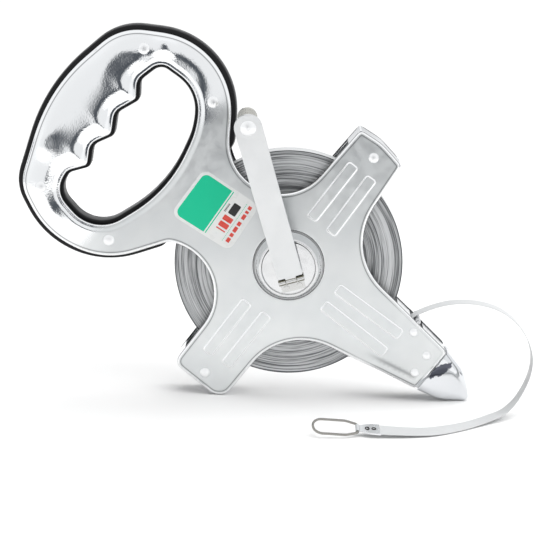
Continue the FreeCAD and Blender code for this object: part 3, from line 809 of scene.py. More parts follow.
def pressed_plate(name, side, replaces):
    """One plate of the frame; side is -1 for the front and 1 for the back."""
    flat, faces = DOMAIN
    rise = DOMAIN_RISE
    points = [(x, side * (OUTER + r), z) for (x, z), r in zip(flat, rise)]
    faces = [tuple(f) for f in faces]
    shade = [0.0] * len(points)
    start = 0
    edges = [
        (outline, ROLL, -1, FLANK_LEAN * np.maximum(handle_share(outline), bent_share(outline)), FLANGE),
        (hand_hole, HOLE_ROLL, 1, np.zeros(len(hand_hole)), HOLE_FLANGE),
        (hub_hole, HUB_ROLL, 1, np.zeros(len(hub_hole)), HOLE_FLANGE),
    ]
    for loop, reach, inset, lean, flange in edges:
        count = len(loop)
        way = outward(loop) * (-inset)
        border = loop + outward(loop) * reach * inset
        # painted shade darkens the hub hole's roll and the outer rows of the other rolled borders
        dark_rows = (0.0, 1.5) if loop is hub_hole else (2.0, 4.0)
        previous = list(range(start, start + count))
        rows = roll_rows(border, way, reach, lean, rise[start:start + count], flange, turned_depth(loop))
        for step, (row, level) in enumerate(rows):
            now = list(range(len(points), len(points) + count))
            points += [(x, side * (OUTER + r), z) for (x, z), r in zip(row, level)]
            shade += [float(np.interp(step, dark_rows, (0.0, DARKEST)))] * count
            faces += skin(previous, now)
            previous = now
        start += count
    piece = new_piece(name, points, faces, PLATE, "frame", (), 60.0)
    # polished rib walls and rolled borders, whose colour the material lightens as a painted highlight
    polish_and_highlight = np.ones(len(points))
    polish_and_highlight[:len(flat)] = np.exp(-(rib_depth(flat) / WALL_HALF) ** 4)
    piece.data.attributes.new("polish_and_highlight", "FLOAT", "POINT").data.foreach_set("value", polish_and_highlight)
    # painted shade: a dark line along the foot of the rolled edge, and one beside the nose's bend
    edge = distance(flat, outline)
    painted_shade = np.array(shade)
    bend = bent_share(flat) * np.exp(-((edge - BENT_WIDTH - BEND_AT) / BEND_HALF) ** 2)
    nose = step_up(flat @ np.array(NOSE_WAY), 60.0, 90.0) * (1 - bent_share(flat))
    fold = (DARKEST - NOSE_EASE * nose) * np.exp(-((edge - SHADE_LINE) / SHADE_LINE_HALF) ** 2)
    painted_shade[:len(flat)] = np.maximum(fold, BEND_SHADE * bend)
    piece.data.attributes.new("painted_shade", "FLOAT", "POINT").data.foreach_set("value", painted_shade)
    thicken(piece, SHEET, side)
    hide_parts(replaces)
    return piece


def thicken(piece, thickness, side):
    """Give an open sheet its thickness on the inner side, and keep the result in the mesh."""
    mesh = piece.data
    total = Vector((0, 0, 0))
    for polygon in mesh.polygons:
        total += polygon.normal * polygon.area
    if total.y * side < 0:
        mesh.flip_normals()
    solid = piece.modifiers.new("sheet", "SOLIDIFY")
    solid.thickness = thickness * MM
    solid.offset = -1.0
    solid.use_even_offset = False
    solid.use_quality_normals = True
    keep_modifiers(piece)
    mesh = piece.data
    mesh.polygons.foreach_set("use_smooth", [True] * len(mesh.polygons))
    mesh.set_sharp_from_angle(angle=math.radians(50.0))


def even_normals(piece):
    """Shade each piece's large flat faces flat, so that only its rounded edges turn the light."""
    weigh = piece.modifiers.new("even", "WEIGHTED_NORMAL")
    weigh.weight = 100
    weigh.keep_sharp = True
    keep_modifiers(piece)


def keep_modifiers(piece):
    """Replace a piece's mesh with what its modifiers make of it."""
    graph = bpy.context.evaluated_depsgraph_get()
    made = bpy.data.meshes.new_from_object(piece.evaluated_get(graph), depsgraph=graph)
    piece.modifiers.clear()
    old = piece.data
    piece.data = made
    bpy.data.meshes.remove(old)
    made.name = piece.name


DOMAIN = plate_domain()
DOMAIN_RISE = plate_rise(DOMAIN[0])
pressed_plate("front_plate", -1, "front_frame_plate")
pressed_plate("back_plate", 1, "back_frame_plate")


# ---------------------------------------------------------------- grip core

# half thickness, how far the flat faces stop short of the outer edge and of the hole, and the two
# rounded edges as (reach outward from the loop, share of the half thickness)
GRIP_HALF = 7.6
GRIP_INSETS = (3.0, 2.4)
GRIP_EDGE = [(-1.7, 0.82), (0.7, 0.80), (1.7, 0.74), (2.25, 0.58), (2.5, 0.3)]
GRIP_HOLE_EDGE = [(0.9, 1.0), (0.35, 0.93), (0.0, 0.75)]


def grip_piece():
    """Black moulding between the plates round the hand loop, rounded where it shows past their edges."""
    loops = face_loops("handle_grip_core", -INNER)
    outer = even_loop(loops[0], 1.5, 2)
    hole = even_loop(loops[1], 1.2, 1)
    inset_outer = outer - outward(outer) * GRIP_INSETS[0]
    inset_hole = hole + outward(hole) * GRIP_INSETS[1]
    flat, faces = triangulate(inset_outer, [inset_hole], np.empty((0, 2)))
    points = []
    all_faces = []
    for side in (-1, 1):
        base = len(points)
        points += [(x, side * GRIP_HALF, z) for x, z in flat]
        all_faces += [tuple(base + v for v in face) for face in faces]
    start = 0
    for loop, profile in ((outer, GRIP_EDGE), (hole, GRIP_HOLE_EDGE)):
        count = len(loop)
        rows = [(reach, -share * GRIP_HALF) for reach, share in profile]
        rows += [(reach, share * GRIP_HALF) for reach, share in reversed(profile)]
        previous = list(range(start, start + count))
        for reach, depth in rows:
            now = list(range(len(points), len(points) + count))
            points += [(x, depth, z) for x, z in loop + outward(loop) * reach]
            all_faces += skin(previous, now)
            previous = now
        back = len(flat) + start
        all_faces += skin(previous, list(range(back, back + count)))
        start += count
    new_piece("grip_core", points, all_faces, BLACK, "frame", ("handle_grip_core",), 40.0)


grip_piece()


# ---------------------------------------------------------------- rivets

# every rivet head is narrower than this, and no two rivets are this close
RIVET_APART = 12.0


def rivet_places(node):
    """Middle (x, z) and head radius of each rivet, from the CAD heads' flat undersides."""
    points = hub_mm(node)
    heads = points[np.abs(points[:, 1] + OUTER) < SAME_DEPTH][:, (0, 2)]
    places = []
    for point in heads:
        for group in places:
            if np.linalg.norm(group[0] - point) < RIVET_APART:
                group.append(point)
                break
        else:
            places.append([point])
    found = []
    for group in places:
        group = np.array(group)
        middle = (group.max(axis=0) + group.min(axis=0)) / 2
        found.append((middle, float(np.linalg.norm(group - middle, axis=1).max())))
    return found


# a domed head as shares of its radius and its height, and its shank's radius
HEAD_PROFILE = [(0.03, 1.0), (0.2, 0.985), (0.4, 0.93), (0.6, 0.82), (0.78, 0.62), (0.91, 0.38),
                (0.98, 0.12), (1.0, -0.05), (1.0, -0.35)]
HEAD_HEIGHT = 1.35
SHANK = 1.9


def rivet_piece(name, node):
    heap = Heap()
    for middle, radius in rivet_places(node):
        level = OUTER + float(plate_rise([middle])[0])
        profile = [(radius * r, level + HEAD_HEIGHT * h) for r, h in HEAD_PROFILE]
        profile += [(SHANK, level - 0.5), (SHANK, 0.2)]
        for side in (-1, 1):
            heap.turned(profile, 40, (middle[0], 0, middle[1]), (0, side, 0))
    heap.piece(name, RIVET, "frame", "bright_rivet", (node,), 50.0)


for rivet_node in ("handle_rivets", "arm_rivets", "nose_rivets"):
    rivet_piece(rivet_node.replace("_rivets", "_rivet_heads"), rivet_node)


# ---------------------------------------------------------------- wound tape

# the wound tape: its radii, half its width, and the distance between the turns that are drawn
COIL_INNER = 30.2
COIL_OUTER = 79.5
COIL_FACE = 5.98
TURN_STEP = 0.52


def coil_piece():
    """Tape wound on the drum: uneven edges of the turns on both sides, and the last turn outside."""
    chance = np.random.default_rng(7)
    segments = 150
    radii = np.arange(COIL_INNER, COIL_OUTER - 0.3, TURN_STEP)
    angles = 2 * math.pi * np.arange(segments) / segments
    sheets = []
    for side in (-1, 1):
        levels = []
        for _ in radii:
            lift = chance.normal(0.0, 0.05)
            waves = 0.04 * np.sin(angles + chance.uniform(0, 6.28))
            waves += 0.03 * np.sin(3 * angles + chance.uniform(0, 6.28))
            levels.append(np.clip(COIL_FACE + lift + waves, 5.6, 6.3))
        levels[-1] = np.full(segments, 6.2)
        levels[-2] = np.full(segments, 6.1)
        levels[0] = np.full(segments, 6.0)
        sheets.append([(radius, side * level) for radius, level in zip(radii, levels)])
    rim = [(COIL_OUTER - 0.12, -6.22), (COIL_OUTER, -6.1), (COIL_OUTER, 6.1), (COIL_OUTER - 0.12, 6.22)]
    around = sheets[0] + [(radius, np.full(segments, level)) for radius, level in rim] + sheets[1][::-1]
    rings = []
    for radius, level in around + around[:1]:
        rings.append(np.column_stack([radius * np.cos(angles), level, radius * np.sin(angles)]))
    heap = Heap()
    heap.sweep(rings, ends=False)
    side_faces = len(radii) * segments
    for face in range(side_faces, side_faces + 3 * segments):
        heap.indices[face] = 1
    heap.piece("wound_tape", [wound_material(), TAPE], "reel", "tape_coil_grey", ("tape_coil",), 50.0)


# radius in metres of the circle along which the streaks' pattern is read in one turn, and the coil's
# radius where its dark outer turn starts
STREAK_TURN = 0.0011
RIM_STARTS = 0.0784


def wound_material():
    """Edges of many turns: dark and light streaks that follow the winding."""
    made = Nodes("wound_tape_edges")
    x, z = made.across_front()
    radius = made.math("SQRT", made.math("ADD", made.math("MULTIPLY", x, x), made.math("MULTIPLY", z, z)))
    around_x = made.math("MULTIPLY", made.math("DIVIDE", x, radius), STREAK_TURN)
    around_z = made.math("MULTIPLY", made.math("DIVIDE", z, radius), STREAK_TURN)
    turns = made.add("CombineXYZ", X=radius, Y=around_x, Z=around_z).outputs[0]
    streaks = made.noise(1150.0, 3.0, 0.7, turns)
    bands = made.noise(260.0, 2.0, 0.5, turns)
    value = made.math("ADD", made.math("MULTIPLY", streaks, 0.7), made.math("MULTIPLY", bands, 0.3))
    share = made.ramp(value, 0.38, 0.60)
    turned = made.mix(share, (0.11, 0.115, 0.12), (0.62, 0.63, 0.64))
    colour = made.mix(made.ramp(radius, RIM_STARTS, RIM_STARTS + 0.0006), turned, (0.07, 0.075, 0.08))
    made.set(Base_Color=colour, Metallic=0.65)
    made.set(Roughness=made.ramp(streaks, 0.3, 0.7, 0.32, 0.55))
    made.bump(streaks, 0.5, 0.0004)
    return made.material


CLIP = metal("clip_steel", (0.80, 0.81, 0.82), 0.30, 0.06, 900.0, 0.06, 0.02)
TAPE = plastic("coated_tape", (0.50, 0.51, 0.515), 0.34, 900.0, 0.05, 0.03)
coil_piece()


# ---------------------------------------------------------------- label

def straight_corners(loop):
    """The four corners where the long sides of a rounded four-sided loop would meet."""
    ends = np.roll(loop, -1, axis=0)
    lengths = np.linalg.norm(ends - loop, axis=1)
    longest = sorted(np.argsort(lengths)[-4:])
    corners = []
    for first, second in zip(longest, longest[1:] + longest[:1]):
        p, r = loop[first], ends[first] - loop[first]
        q, s = loop[second], ends[second] - loop[second]
        share = np.cross(q - p, s) / np.cross(r, s)
        corners.append(p + r * share)
    return np.array(corners)


def rounded_corners(corners, radii, steps=8):
    """Loop with each corner replaced by an arc."""
    loop = []
    for index, corner in enumerate(corners):
        corner = np.array(corner, float)
        before = np.array(corners[index - 1], float) - corner
        after = np.array(corners[(index + 1) % len(corners)], float) - corner
        before /= np.linalg.norm(before)
        after /= np.linalg.norm(after)
        half = math.acos(np.clip(before @ after, -1, 1)) / 2
        radius = radii[index]
        middle = (before + after) / np.linalg.norm(before + after)
        centre = corner + middle * radius / math.sin(half)
        start = corner + before * radius / math.tan(half) - centre
        end = corner + after * radius / math.tan(half) - centre
        total = math.atan2(start[0] * end[1] - start[1] * end[0], start @ end)
        for step in range(steps + 1):
            turn = total * step / steps
            cos, sin = math.cos(turn), math.sin(turn)
            turned = (start[0] * cos - start[1] * sin, start[0] * sin + start[1] * cos)
            loop.append(centre + np.array(turned))
    return np.array(loop)


def sticker(heap, loop, low, high, index=0):
    """Thin flat slab over a loop on the front plate, between two heights."""
    if area_of(loop) < 0:
        loop = loop[::-1]
    heap.sweep([[(x, -low, z) for x, z in loop], [(x, -high, z) for x, z in loop]], index=index)


LABEL_THICK = 0.2
LABEL_CORNER = 6.0
MARK_THICK = 0.03
GREEN, RED, INK = range(3)
# the green field: shares across and down the label, and its corner radii
FIELD_SHARES = (0.045, 0.535, 0.05, 0.95)
FIELD_RADII = [4.5, 0.3, 0.3, 4.5]
# rows of marks: shares across the label, corner radius, colour, and each mark's shares down the label
LABEL_MARKS = [
    (0.555, 0.570, 0.1, GREEN, [(0.05, 0.95)]),
    (0.825, 0.832, 0.05, GREEN, [(0.10 + 0.034 * k, 0.10 + 0.034 * k + 0.022) for k in range(24)]),
    (0.645, 0.795, 0.3, RED, [(0.735, 0.76)]),
    (0.645, 0.795, 0.6, RED, [(0.60, 0.70), (0.47, 0.57)]),
    (0.665, 0.785, 0.8, INK, [(0.20, 0.42)]),
    (0.600, 0.630, 0.1, INK, [(0.27 + 0.024 * k, 0.27 + 0.024 * k + 0.013) for k in range(7)]),
    (0.870, 0.925, 0.3, RED, [(0.10, 0.17), (0.20, 0.25), (0.28, 0.38), (0.44, 0.52), (0.55, 0.66),
                              (0.69, 0.76), (0.79, 0.88)]),
]


def label_pieces():
    """Label with a green field and generic rules and blocks where the lettering would be."""
    corners = straight_corners(face_loops("label", -OUTER - LABEL_THICK)[0])
    top, low = corners[np.argmax(corners[:, 1])], corners[np.argmin(corners[:, 1])]
    right, left = corners[np.argmax(corners[:, 0])], corners[np.argmin(corners[:, 0])]
    marks = Heap()
    level = OUTER + LABEL_THICK + MARK_THICK

    def at(s, t):
        return (top * (1 - s) + right * s) * (1 - t) + (left * (1 - s) + low * s) * t

    def patch(s0, s1, t0, t1, radii, colour):
        loop = rounded_corners([at(s0, t0), at(s1, t0), at(s1, t1), at(s0, t1)], radii, 6)
        sticker(marks, loop, level - MARK_THICK, level, colour)

    sheet = Heap()
    loop = rounded_corners([top, right, low, left], [LABEL_CORNER] * 4)
    sticker(sheet, loop, OUTER - MARK_THICK, OUTER + LABEL_THICK)
    sheet.piece("label_sheet", LABEL_WHITE, "frame", "label_film", ("label",))
    patch(*FIELD_SHARES, FIELD_RADII, GREEN)
    for first, last, corner, colour, spans in LABEL_MARKS:
        for start, end in spans:
            patch(first, last, start, end, [corner] * 4, colour)
    marks.piece("label_marks", [LABEL_GREEN, LABEL_RED, LABEL_BLACK], "frame", "label_film")


LABEL_WHITE = plastic("label_white", (0.86, 0.87, 0.86), 0.30, 300.0, 0.03, 0.01)
LABEL_GREEN = plastic("label_green", (0.006, 0.60, 0.33), 0.34, 300.0, 0.03, 0.01, 0.35)
LABEL_RED = plastic("label_red", (0.72, 0.07, 0.05), 0.32, 500.0, 0.04, 0.05)
LABEL_BLACK = plastic("label_black", (0.012, 0.012, 0.012), 0.34, 500.0, 0.04, 0.05)
label_pieces()


# ---------------------------------------------------------------- nose tip

# the tip's outline, its length, its half depth at the seam and how much that falls towards the point,
# and the width of the rounding along its edges; then the block behind it
TIP_CORNERS = [(113.9, -58.9), (126.8, -74.5), (131.5, -95.6), (110.0, -94.2), (93.4, -87.0)]
TIP_RADII = [0.6, 30.0, 3.0, 24.0, 0.6]
TIP_LENGTH = 36.0
TIP_FULL = 13.3
TIP_FALL = 8.4
TIP_ROUNDING = 6.0
TONGUE_CORNERS = [(114.0, -61.8), (95.9, -86.2), (71.0, -73.5), (86.9, -43.6), (95.5, -44.5)]
TONGUE_HALF = 11.3


def nose_tip_piece():
    """Smooth bright tip: full depth at its seam, rounded along its edges, thin at its point."""
    loop = even_loop(rounded_corners(TIP_CORNERS, TIP_RADII), 1.0, 1)
    loop[:, 1] = np.maximum(loop[:, 1], -HUB_AT[2])
    seam_from, seam_to = np.array(TIP_CORNERS[0]), np.array(TIP_CORNERS[-1])
    seam_way = (seam_to - seam_from) / np.linalg.norm(seam_to - seam_from)
    ahead = np.array([-seam_way[1], seam_way[0]])
    if ahead[0] < 0:
        ahead = -ahead

    def half_depth(points):
        points = np.asarray(points, float)
        forward = (points - seam_from) @ ahead
        full = TIP_FULL - TIP_FALL * np.clip(forward / TIP_LENGTH, 0, 1) ** 1.7
        open_edge = loop[(loop - seam_from) @ ahead > 0.8]
        gaps = np.min(np.linalg.norm(points[:, None, :] - open_edge[None, :, :], axis=2), axis=1)
        share = np.clip(1 - gaps / TIP_ROUNDING, 0, 1)
        edge = 0.62 * full
        return edge + (full - edge) * np.sqrt(1 - 0.97 * share ** 2)

    inner_rings = [inset_ring(loop, -reach) for reach in (0.7, 1.6, 2.8, 4.2)]
    inner_rings = [ring[inside(ring, loop)] for ring in inner_rings]
    grid = hex_grid(loop.min(axis=0), loop.max(axis=0), 1.5)
    grid = grid[inside(grid, loop)]
    grid = grid[distance(grid, loop) > 5.0]
    flat, faces = triangulate(loop, [], np.vstack([grid] + inner_rings))
    depth = half_depth(flat)
    count = len(flat)
    points = [(x, side * d, z) for side in (-1, 1) for (x, z), d in zip(flat, depth)]
    all_faces = [tuple(base + v for v in face) for base in (0, count) for face in faces]
    border = len(loop)
    rows = [list(range(border))]
    for share in (-0.6, 0.6):
        rows.append(list(range(len(points), len(points) + border)))
        points += [(x, share * d, z) for (x, z), d in zip(flat[:border], depth[:border])]
    rows.append(list(range(count, count + border)))
    for first, second in zip(rows, rows[1:]):
        all_faces += skin(first, second)
    new_piece("nose_point", points, all_faces, NOSE, "frame", (), 45.0)


def tongue_piece():
    """Plain block between the plates that carries the tip, under its rivets."""
    heap = Heap()
    heap.sweep([[(x, depth, z) for x, z in TONGUE_CORNERS] for depth in (-TONGUE_HALF, TONGUE_HALF)])
    heap.piece("nose_tongue", ZINC, "frame", "bright_chrome", ("nose_tip",))


nose_tip_piece()
tongue_piece()


# ---------------------------------------------------------------- knob

# where the knob starts and ends along its axis, its radius and that of its end's dish, and its knurl:
# pairs of grooves round it in each direction, their turn for each millimetre along it, and their depth
KNOB_SPAN = (1.7, 25.0)
KNOB_RADIUS = 6.8
KNOB_DISH = 2.4
KNURLS = 12
KNURL_TURN = 1.65
KNURL_DEPTH = 0.42


def knob_piece():
    """Diamond-knurled knob, smooth at both ends, with a shallow dish in its far end and no bore."""
    place, axis = joint_line("knob_spin")
    start, end = KNOB_SPAN
    radius = KNOB_RADIUS

    def ripple(r, h, angle):
        if r < radius - 0.05:
            return 0.0
        share = step_up(h, start + 2.0, start + 3.0) * step_up(-h, -end + 2.0, -end + 3.0)
        first = abs(math.sin(KNURLS * angle + KNURL_TURN * h))
        second = abs(math.sin(KNURLS * angle - KNURL_TURN * h))
        return -KNURL_DEPTH * share * (1 - min(first, second) ** 0.7)

    profile = [(KNOB_DISH, start), (radius - 1.0, start)]
    profile += [(radius - 0.3, start + 0.3), (radius, start + 1.0)]
    rows = 84
    for row in range(1, rows):
        profile.append((radius, start + 1.0 + (end - start - 2.0) * row / rows))
    profile += [(radius, end - 1.0), (radius - 0.3, end - 0.3), (radius - 1.0, end)]
    profile += [(KNOB_DISH + 0.6, end), (KNOB_DISH, end - 0.4)]
    heap = Heap()
    heap.turned(profile, 168, place / MM - HUB_AT, axis, ripple)
    heap.piece("knurled_knob", KNURL, "knob", "knurled_nickel", ("knob",), 60.0)


knob_piece()


# ---------------------------------------------------------------- crank, hub, caps and small parts

# the hinge's barrel: the faces within this many millimetres of the joint's axis
HINGE = ("crank_fold", 2.2)
# on the barrel, faces that face the front take the lighter strap metal, a painted highlight
refined("crank_arm", 0.35, [PALE, BRASSY, STRAP], "crank", "crank_bar", 3, barrel=HINGE)
refined("crank_lug", 0.2, [STRAP, BRASSY, STRAP], "reel", "crank_strap", barrel=HINGE)
refined("hub_boss", 0.35, HUB_METAL, "reel", "hub_dish", 3, 25.0)
refined("rear_hub", 0.4, HUB_METAL, "reel", "hub_rear_cup", 3, 25.0)
refined("hub_axle", 0.3, ZINC, "reel", "hub_bolt")
refined("axle_nut", 0.25, ZINC, "reel", "hub_nut")
refined("upper_arm_end_cap", 0.3, BRIGHT, "frame", "upper_cap")
refined("lower_arm_end_cap", 0.3, BRIGHT, "frame", "lower_cap")
refined("mouth_entry_strip", 0.25, RIVET, "frame", "entry_lip")
refined("mouth_exit_strip", 0.25, RIVET, "frame", "exit_lip")

for node, material in {
    "arm_spacer_tubes": ZINC,
    "tape_guide_roller": ZINC,
    "guide_roller_pin": ZINC,
    "front_hub_bush": BUSH,
    "rear_hub_bush": BUSH,
    "tape_inner_run": TAPE,
    "hub_drum": ZINC,
    "front_drum_disc": ZINC,
    "rear_drum_disc": ZINC,
    "lug_rivets": STRAP,
    "crank_hinge_pin": BRASSY,
    "knob_rivet": RIVET,
    "knob_washer": ZINC,
}.items():
    take_materials(NODES[node].data, material, None)


# ---------------------------------------------------------------- free end of the tape

# points that shape the line of the tape's middle, from the mouth to its clip, and its width and thickness
TAPE_ROUTE = [
    (92.0, 0.0, -33.8),
    (107.0, 0.0, -26.0),
    (132.0, -5.0, -22.5),
    (154.0, -10.0, -28.0),
    (169.0, -18.0, -43.5),
    (172.5, -28.0, -64.0),
    (158.0, -38.0, -90.0),
    (135.0, -57.0, -94.6),
    (113.0, -77.0, -94.4),
    (91.0, -92.0, -93.2),
    (63.5, -94.3, -91.5),
]
TAPE_WIDTH = 12.5
BAND = 0.4
# tilt of the back edge at the tape's end and at the clip's eye, and the share of the tape where it starts
END_TILT = math.radians(12.0)
EYE_TILT = math.radians(28.0)
TILT_STARTS = 0.72
# the clip: its overhang beside the tape, and its sections and eyelets as (reach, share of the way
# from the tape's width and tilt to those of the eye)
CLIP_OVER = 0.3
EYE_AT = 14.1
CLIP_SECTIONS = [(-1.0, 0.0), (-0.8, 0.0), (4.0, 0.05), (8.0, 0.45), (11.0, 0.85), (EYE_AT - 1.35, 1.0)]
CLIP_THICK = 0.62
CLIP_LIP = 0.35
EYE_R = 1.5
EYE_BORE = 0.95
EYE_HALF = 2.75
EYELETS = [(3.2, 0.05), (7.6, 0.41)]
EYELET_FLOOR = (0.76, 0.24)
EYELET_RIM = [(0.75, 0.25), (1.1, 0.98), (1.5, 0.9), (1.65, 0.55)]
# the ring: its far end, half widths at its narrow and wide ends, the wire's radius, where it is wide
# first, and the radii of its corners
RING_FAR = 29.9
RING_NARROW = 3.9
RING_WIDE = 6.6
RING_WIRE = 0.86
RING_SHOULDER = 8.0
RING_RADII = [1.3, 9.0, 6.3, 6.3, 9.0, 1.3]
ROUND = 24


def route_line():
    """Points in metres along the smooth line of the free tape."""
    curve = bpy.data.curves.new("tape_route", "CURVE")
    curve.dimensions = "3D"
    curve.resolution_u = 24
    spline = curve.splines.new("NURBS")
    spline.points.add(len(TAPE_ROUTE) - 1)
    for point, at in zip(spline.points, TAPE_ROUTE):
        point.co = (*((np.array(at) + HUB_AT) * MM), 1.0)
    spline.order_u = 3
    spline.use_endpoint_u = True
    holder = placed("tape_route", curve)
    mesh = bpy.data.meshes.new_from_object(holder)
    line = [v.co.copy() for v in mesh.vertices]
    bpy.data.objects.remove(holder)
    bpy.data.curves.remove(curve)
    bpy.data.meshes.remove(mesh)
    return line


def end_ways(along, tilt):
    """Ways across the tape and off its face, for a heading and a tilt of its back edge."""
    across = np.array([0.0, math.cos(tilt), math.sin(tilt)])
    across -= along * (across @ along)
    across /= np.linalg.norm(across)
    return across, np.cross(along, across)


def eye_frame(heading):
    """Middle of the clip's eye on the hook's joint, with the ways along, across and off it."""
    place, across = joint_line("hook_swing")
    along = heading - across * (heading @ across)
    along /= np.linalg.norm(along)
    return place / MM - HUB_AT, along, across, np.cross(along, across)


def clip_ways(along, share):
    """Ways across the clip and off its face at a share of the way to the eye."""
    return end_ways(along, END_TILT + (EYE_TILT - END_TILT) * share)


def clip_piece(end, along):
    """Folded clip: it narrows and turns from the tape's tilt to that of its rolled eye."""
    heap = Heap()
    rings = []
    for reach, share in CLIP_SECTIONS:
        across, up = clip_ways(along, share)
        wide = TAPE_WIDTH / 2 + CLIP_OVER
        half = wide + (EYE_HALF - wide) * share
        thick = CLIP_THICK if rings else CLIP_LIP
        corners = [(-half, -0.6), (-half, 0.6), (-half + 0.3, 1.0), (half - 0.3, 1.0)]
        section = corners + [(-a, -b) for a, b in corners]
        rings.append([end + along * reach + across * a + up * b * thick for a, b in section])
    heap.sweep(rings)
    middle, ahead, across, up = eye_frame(along)
    section = [(EYE_BORE, -EYE_HALF), (EYE_R, -EYE_HALF), (EYE_R, EYE_HALF), (EYE_BORE, EYE_HALF)]
    rings = [circle(middle + across * height, ahead, up, radius, ROUND) for radius, height in section]
    heap.sweep(rings + rings[:1], ends=False)
    heap.piece("end_clip", CLIP, "frame", "zinc_steel", ("tape_end_clip",), 35.0)


def eyelets_piece(end, along):
    """Two dark hollow rivets through the clip, each with a floor inside."""
    heap = Heap()
    for reach, share in EYELETS:
        across, up = clip_ways(along, share)
        middle = end + along * reach
        rim = EYELET_RIM + [(radius, -height) for radius, height in reversed(EYELET_RIM)]
        rings = [circle(middle + up * height, along, across, radius, ROUND) for radius, height in rim]
        heap.sweep(rings + rings[:1], ends=False)
        radius, level = EYELET_FLOOR
        levels = (level, -level)
        heap.sweep([circle(middle + up * height, along, across, radius, ROUND) for height in levels])
    heap.piece("end_eyelets", EYELET, "frame", "dark_eyelet", ("clip_eyelets",), 35.0)


def hook_piece(middle, along, across, up):
    """Pear-shaped wire ring: its narrow end turns in the clip's eye, its wide end is round."""
    corners = [(0.0, -RING_NARROW), (RING_SHOULDER, -RING_WIDE), (RING_FAR, -RING_WIDE),
               (RING_FAR, RING_WIDE), (RING_SHOULDER, RING_WIDE), (0.0, RING_NARROW)]
    loop = even_loop(rounded_corners(corners, RING_RADII, 10), 0.7, 1)
    rings = []
    for (reach, side), way in zip(loop, outward(loop)):
        centre = middle + along * reach + across * side
        rings.append(circle(centre, along * way[0] + across * way[1], up, RING_WIRE, 14))
    heap = Heap()
    heap.sweep(rings + rings[:1], ends=False)
    heap.piece("hook_loop", WIRE, "hook", "bright_chrome", ("hook_ring",), 60.0)


def tape_band():
    """Free stretch of the tape: a thin flat band, tilted off the ground towards its clip."""
    line = route_line()
    points = np.array([tuple(p) for p in line]) / MM - HUB_AT
    runs = np.linalg.norm(np.diff(points, axis=0), axis=1)
    done = np.concatenate([[0.0], np.cumsum(runs)])
    headings = np.gradient(points, axis=0)
    headings /= np.linalg.norm(headings, axis=1)[:, None]
    heap = Heap()
    rings = []
    half, thin, bead = TAPE_WIDTH / 2, BAND / 2, 0.25
    section = [(-half, 0.0), (-half + bead, thin), (half - bead, thin), (half, 0.0), (half - bead, -thin),
               (-half + bead, -thin)]
    for point, heading, share in zip(points, headings, done / done[-1]):
        tilt = END_TILT * max(0.0, (share - TILT_STARTS) / (1 - TILT_STARTS))
        across, up = end_ways(heading, tilt)
        rings.append([point + across * a + up * b for a, b in section])
    heap.sweep(rings)
    clip_piece(points[-1], headings[-1])
    eyelets_piece(points[-1], headings[-1])
    hook_piece(*eye_frame(headings[-1]))
    band = heap.piece("free_tape", TAPE, "frame", "tape_white", ("tape_free_end",), 25.0)


tape_band()


# ---------------------------------------------------------------- camera

# distance, downward tilt and roll of the camera, the width that it sees at that distance in metres,
# the sensor's width in millimetres, and the point that it looks at
CAMERA_BACK = 1.4
CAMERA_DOWN = math.radians(13.0)
CAMERA_TURN = math.radians(2.18)
SEEN_WIDTH = 0.385
SENSOR = 36.0
LOOK_AT = HUB + Vector((-9.09, -2.29, -9.93)) * MM
back_way = Vector((0, -math.cos(CAMERA_DOWN), math.sin(CAMERA_DOWN)))
level_up = Vector((0, math.sin(CAMERA_DOWN), math.cos(CAMERA_DOWN)))
level_right = Vector((1, 0, 0))
right_way = level_right * math.cos(CAMERA_TURN) + level_up * math.sin(CAMERA_TURN)
up_way = level_up * math.cos(CAMERA_TURN) - level_right * math.sin(CAMERA_TURN)
camera_data = bpy.data.cameras.new("camera")
camera_data.sensor_width = SENSOR
camera_data.lens = SENSOR * CAMERA_BACK / SEEN_WIDTH
camera = placed("camera", camera_data)
place = LOOK_AT + back_way * CAMERA_BACK
turn = Matrix((right_way, up_way, back_way)).transposed()
camera.matrix_world = Matrix.Translation(place) @ turn.to_4x4()
bpy.context.scene.camera = camera


# ---------------------------------------------------------------- floor and light

# strength of the room as the camera, reflections and diffuse rays meet it
SEEN_LIGHT = 1.05
ROOM_LIGHT = 1.02
SOFT_LIGHT = 0.42
# the room is dimmer in front, and has four dark gaps low down that only reflections show
FRONT_DIM = 0.12
FRONT_SPAN = (0.72, 0.96)
GAP_COUNT = 4.0
GAP_EDGE = 0.74
GAP_FULL = 0.96
GAP_TOP = (0.05, 0.10)
GAP_COLOUR = (0.09, 0.10, 0.115)
ROOM_COLOUR = (0.98, 0.99, 1.0)
SUN_ANGLE = math.radians(88.0)
SUN_POWER = 3.7
SUN_FROM = (0.45, 0.02, 0.90)
FLOOR_COLOUR = (0.80, 0.80, 0.80)
FLOOR_GLOW = 0.03
# the floor's sizes in millimetres and its place in metres
FLOOR_RADIUS = 850.0
FLOOR_THICK = 10.0
FLOOR_AT = (0, 0.22, -0.0003)


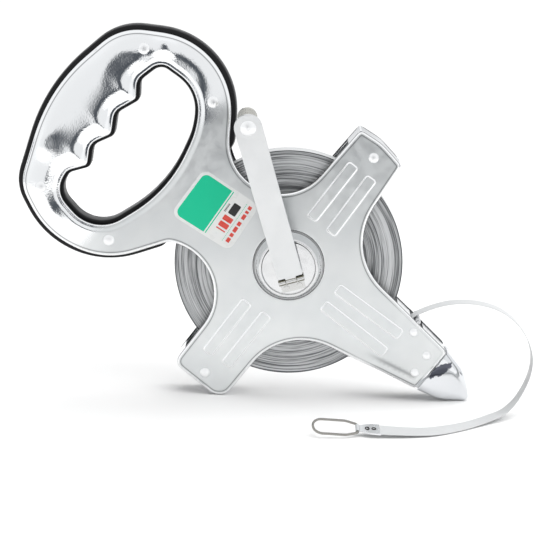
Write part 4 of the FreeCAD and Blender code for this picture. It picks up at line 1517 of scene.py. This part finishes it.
def floor_disc():
    """Pale round floor, a little below the ground so that nothing lies in its face."""
    heap = Heap()
    heap.turned([(FLOOR_RADIUS, 0.0), (FLOOR_RADIUS, -FLOOR_THICK)], 96)
    mesh = bpy.data.meshes.new("floor")
    points = [(p[0] * MM, p[2] * MM, p[1] * MM) for p in heap.points]
    mesh.from_pydata(points, [], heap.faces)
    mesh.update()
    floor = placed("floor", mesh)
    floor.location = FLOOR_AT
    made = Nodes("floor_paper")
    made.set(Base_Color=FLOOR_COLOUR, Roughness=0.9, Specular_IOR_Level=0.1)
    made.set(Emission_Color=(1.0, 1.0, 1.0), Emission_Strength=FLOOR_GLOW)
    mesh.materials.append(made.material)


def room():
    """Bright even world; reflections also meet the four dark gaps, and diffuse rays a weaker light."""
    world = bpy.data.worlds.new("studio")
    bpy.context.scene.world = world
    world.use_nodes = True
    made = Tree(world.node_tree)
    made.tree.nodes.clear()
    way = made.add("TexCoord").outputs["Generated"]
    east, north, high = made.add("SeparateXYZ", _0=way).outputs
    gaps = made.math("COSINE", made.math("MULTIPLY", made.math("ARCTAN2", north, east), GAP_COUNT))
    beside = made.math("SUBTRACT", 1.0, made.ramp(gaps, GAP_EDGE, GAP_FULL))
    bright = made.math("MAXIMUM", beside, made.ramp(high, *GAP_TOP))
    ahead = made.ramp(made.math("MULTIPLY", north, -1.0), *FRONT_SPAN)
    strength = made.math("SUBTRACT", ROOM_LIGHT, made.math("MULTIPLY", ahead, FRONT_DIM))
    colour = made.mix(bright, GAP_COLOUR, ROOM_COLOUR)
    lit = made.add("Background", Color=colour, Strength=strength).outputs[0]
    soft = made.add("Background", Color=(1, 1, 1, 1), Strength=SOFT_LIGHT).outputs[0]
    seen = made.add("Background", Color=(1, 1, 1, 1), Strength=SEEN_LIGHT).outputs[0]
    rays = made.add("LightPath").outputs
    diffuse = made.add("MixShader", _0=rays["Is Diffuse Ray"], _1=lit, _2=soft).outputs[0]
    whole = made.add("MixShader", _0=rays["Is Camera Ray"], _1=diffuse, _2=seen).outputs[0]
    made.add("OutputWorld", Surface=whole)


def key_light():
    """Very wide sun from the upper right that reflections do not show."""
    data = bpy.data.lights.new("key_light", "SUN")
    data.angle = SUN_ANGLE
    data.energy = SUN_POWER
    light = placed("key_light", data)
    light.visible_glossy = False
    light.rotation_mode = "QUATERNION"
    light.rotation_quaternion = Vector(SUN_FROM).to_track_quat("Z", "Y")


floor_disc()
room()
key_light()
bpy.context.scene.view_settings.view_transform = "Standard"
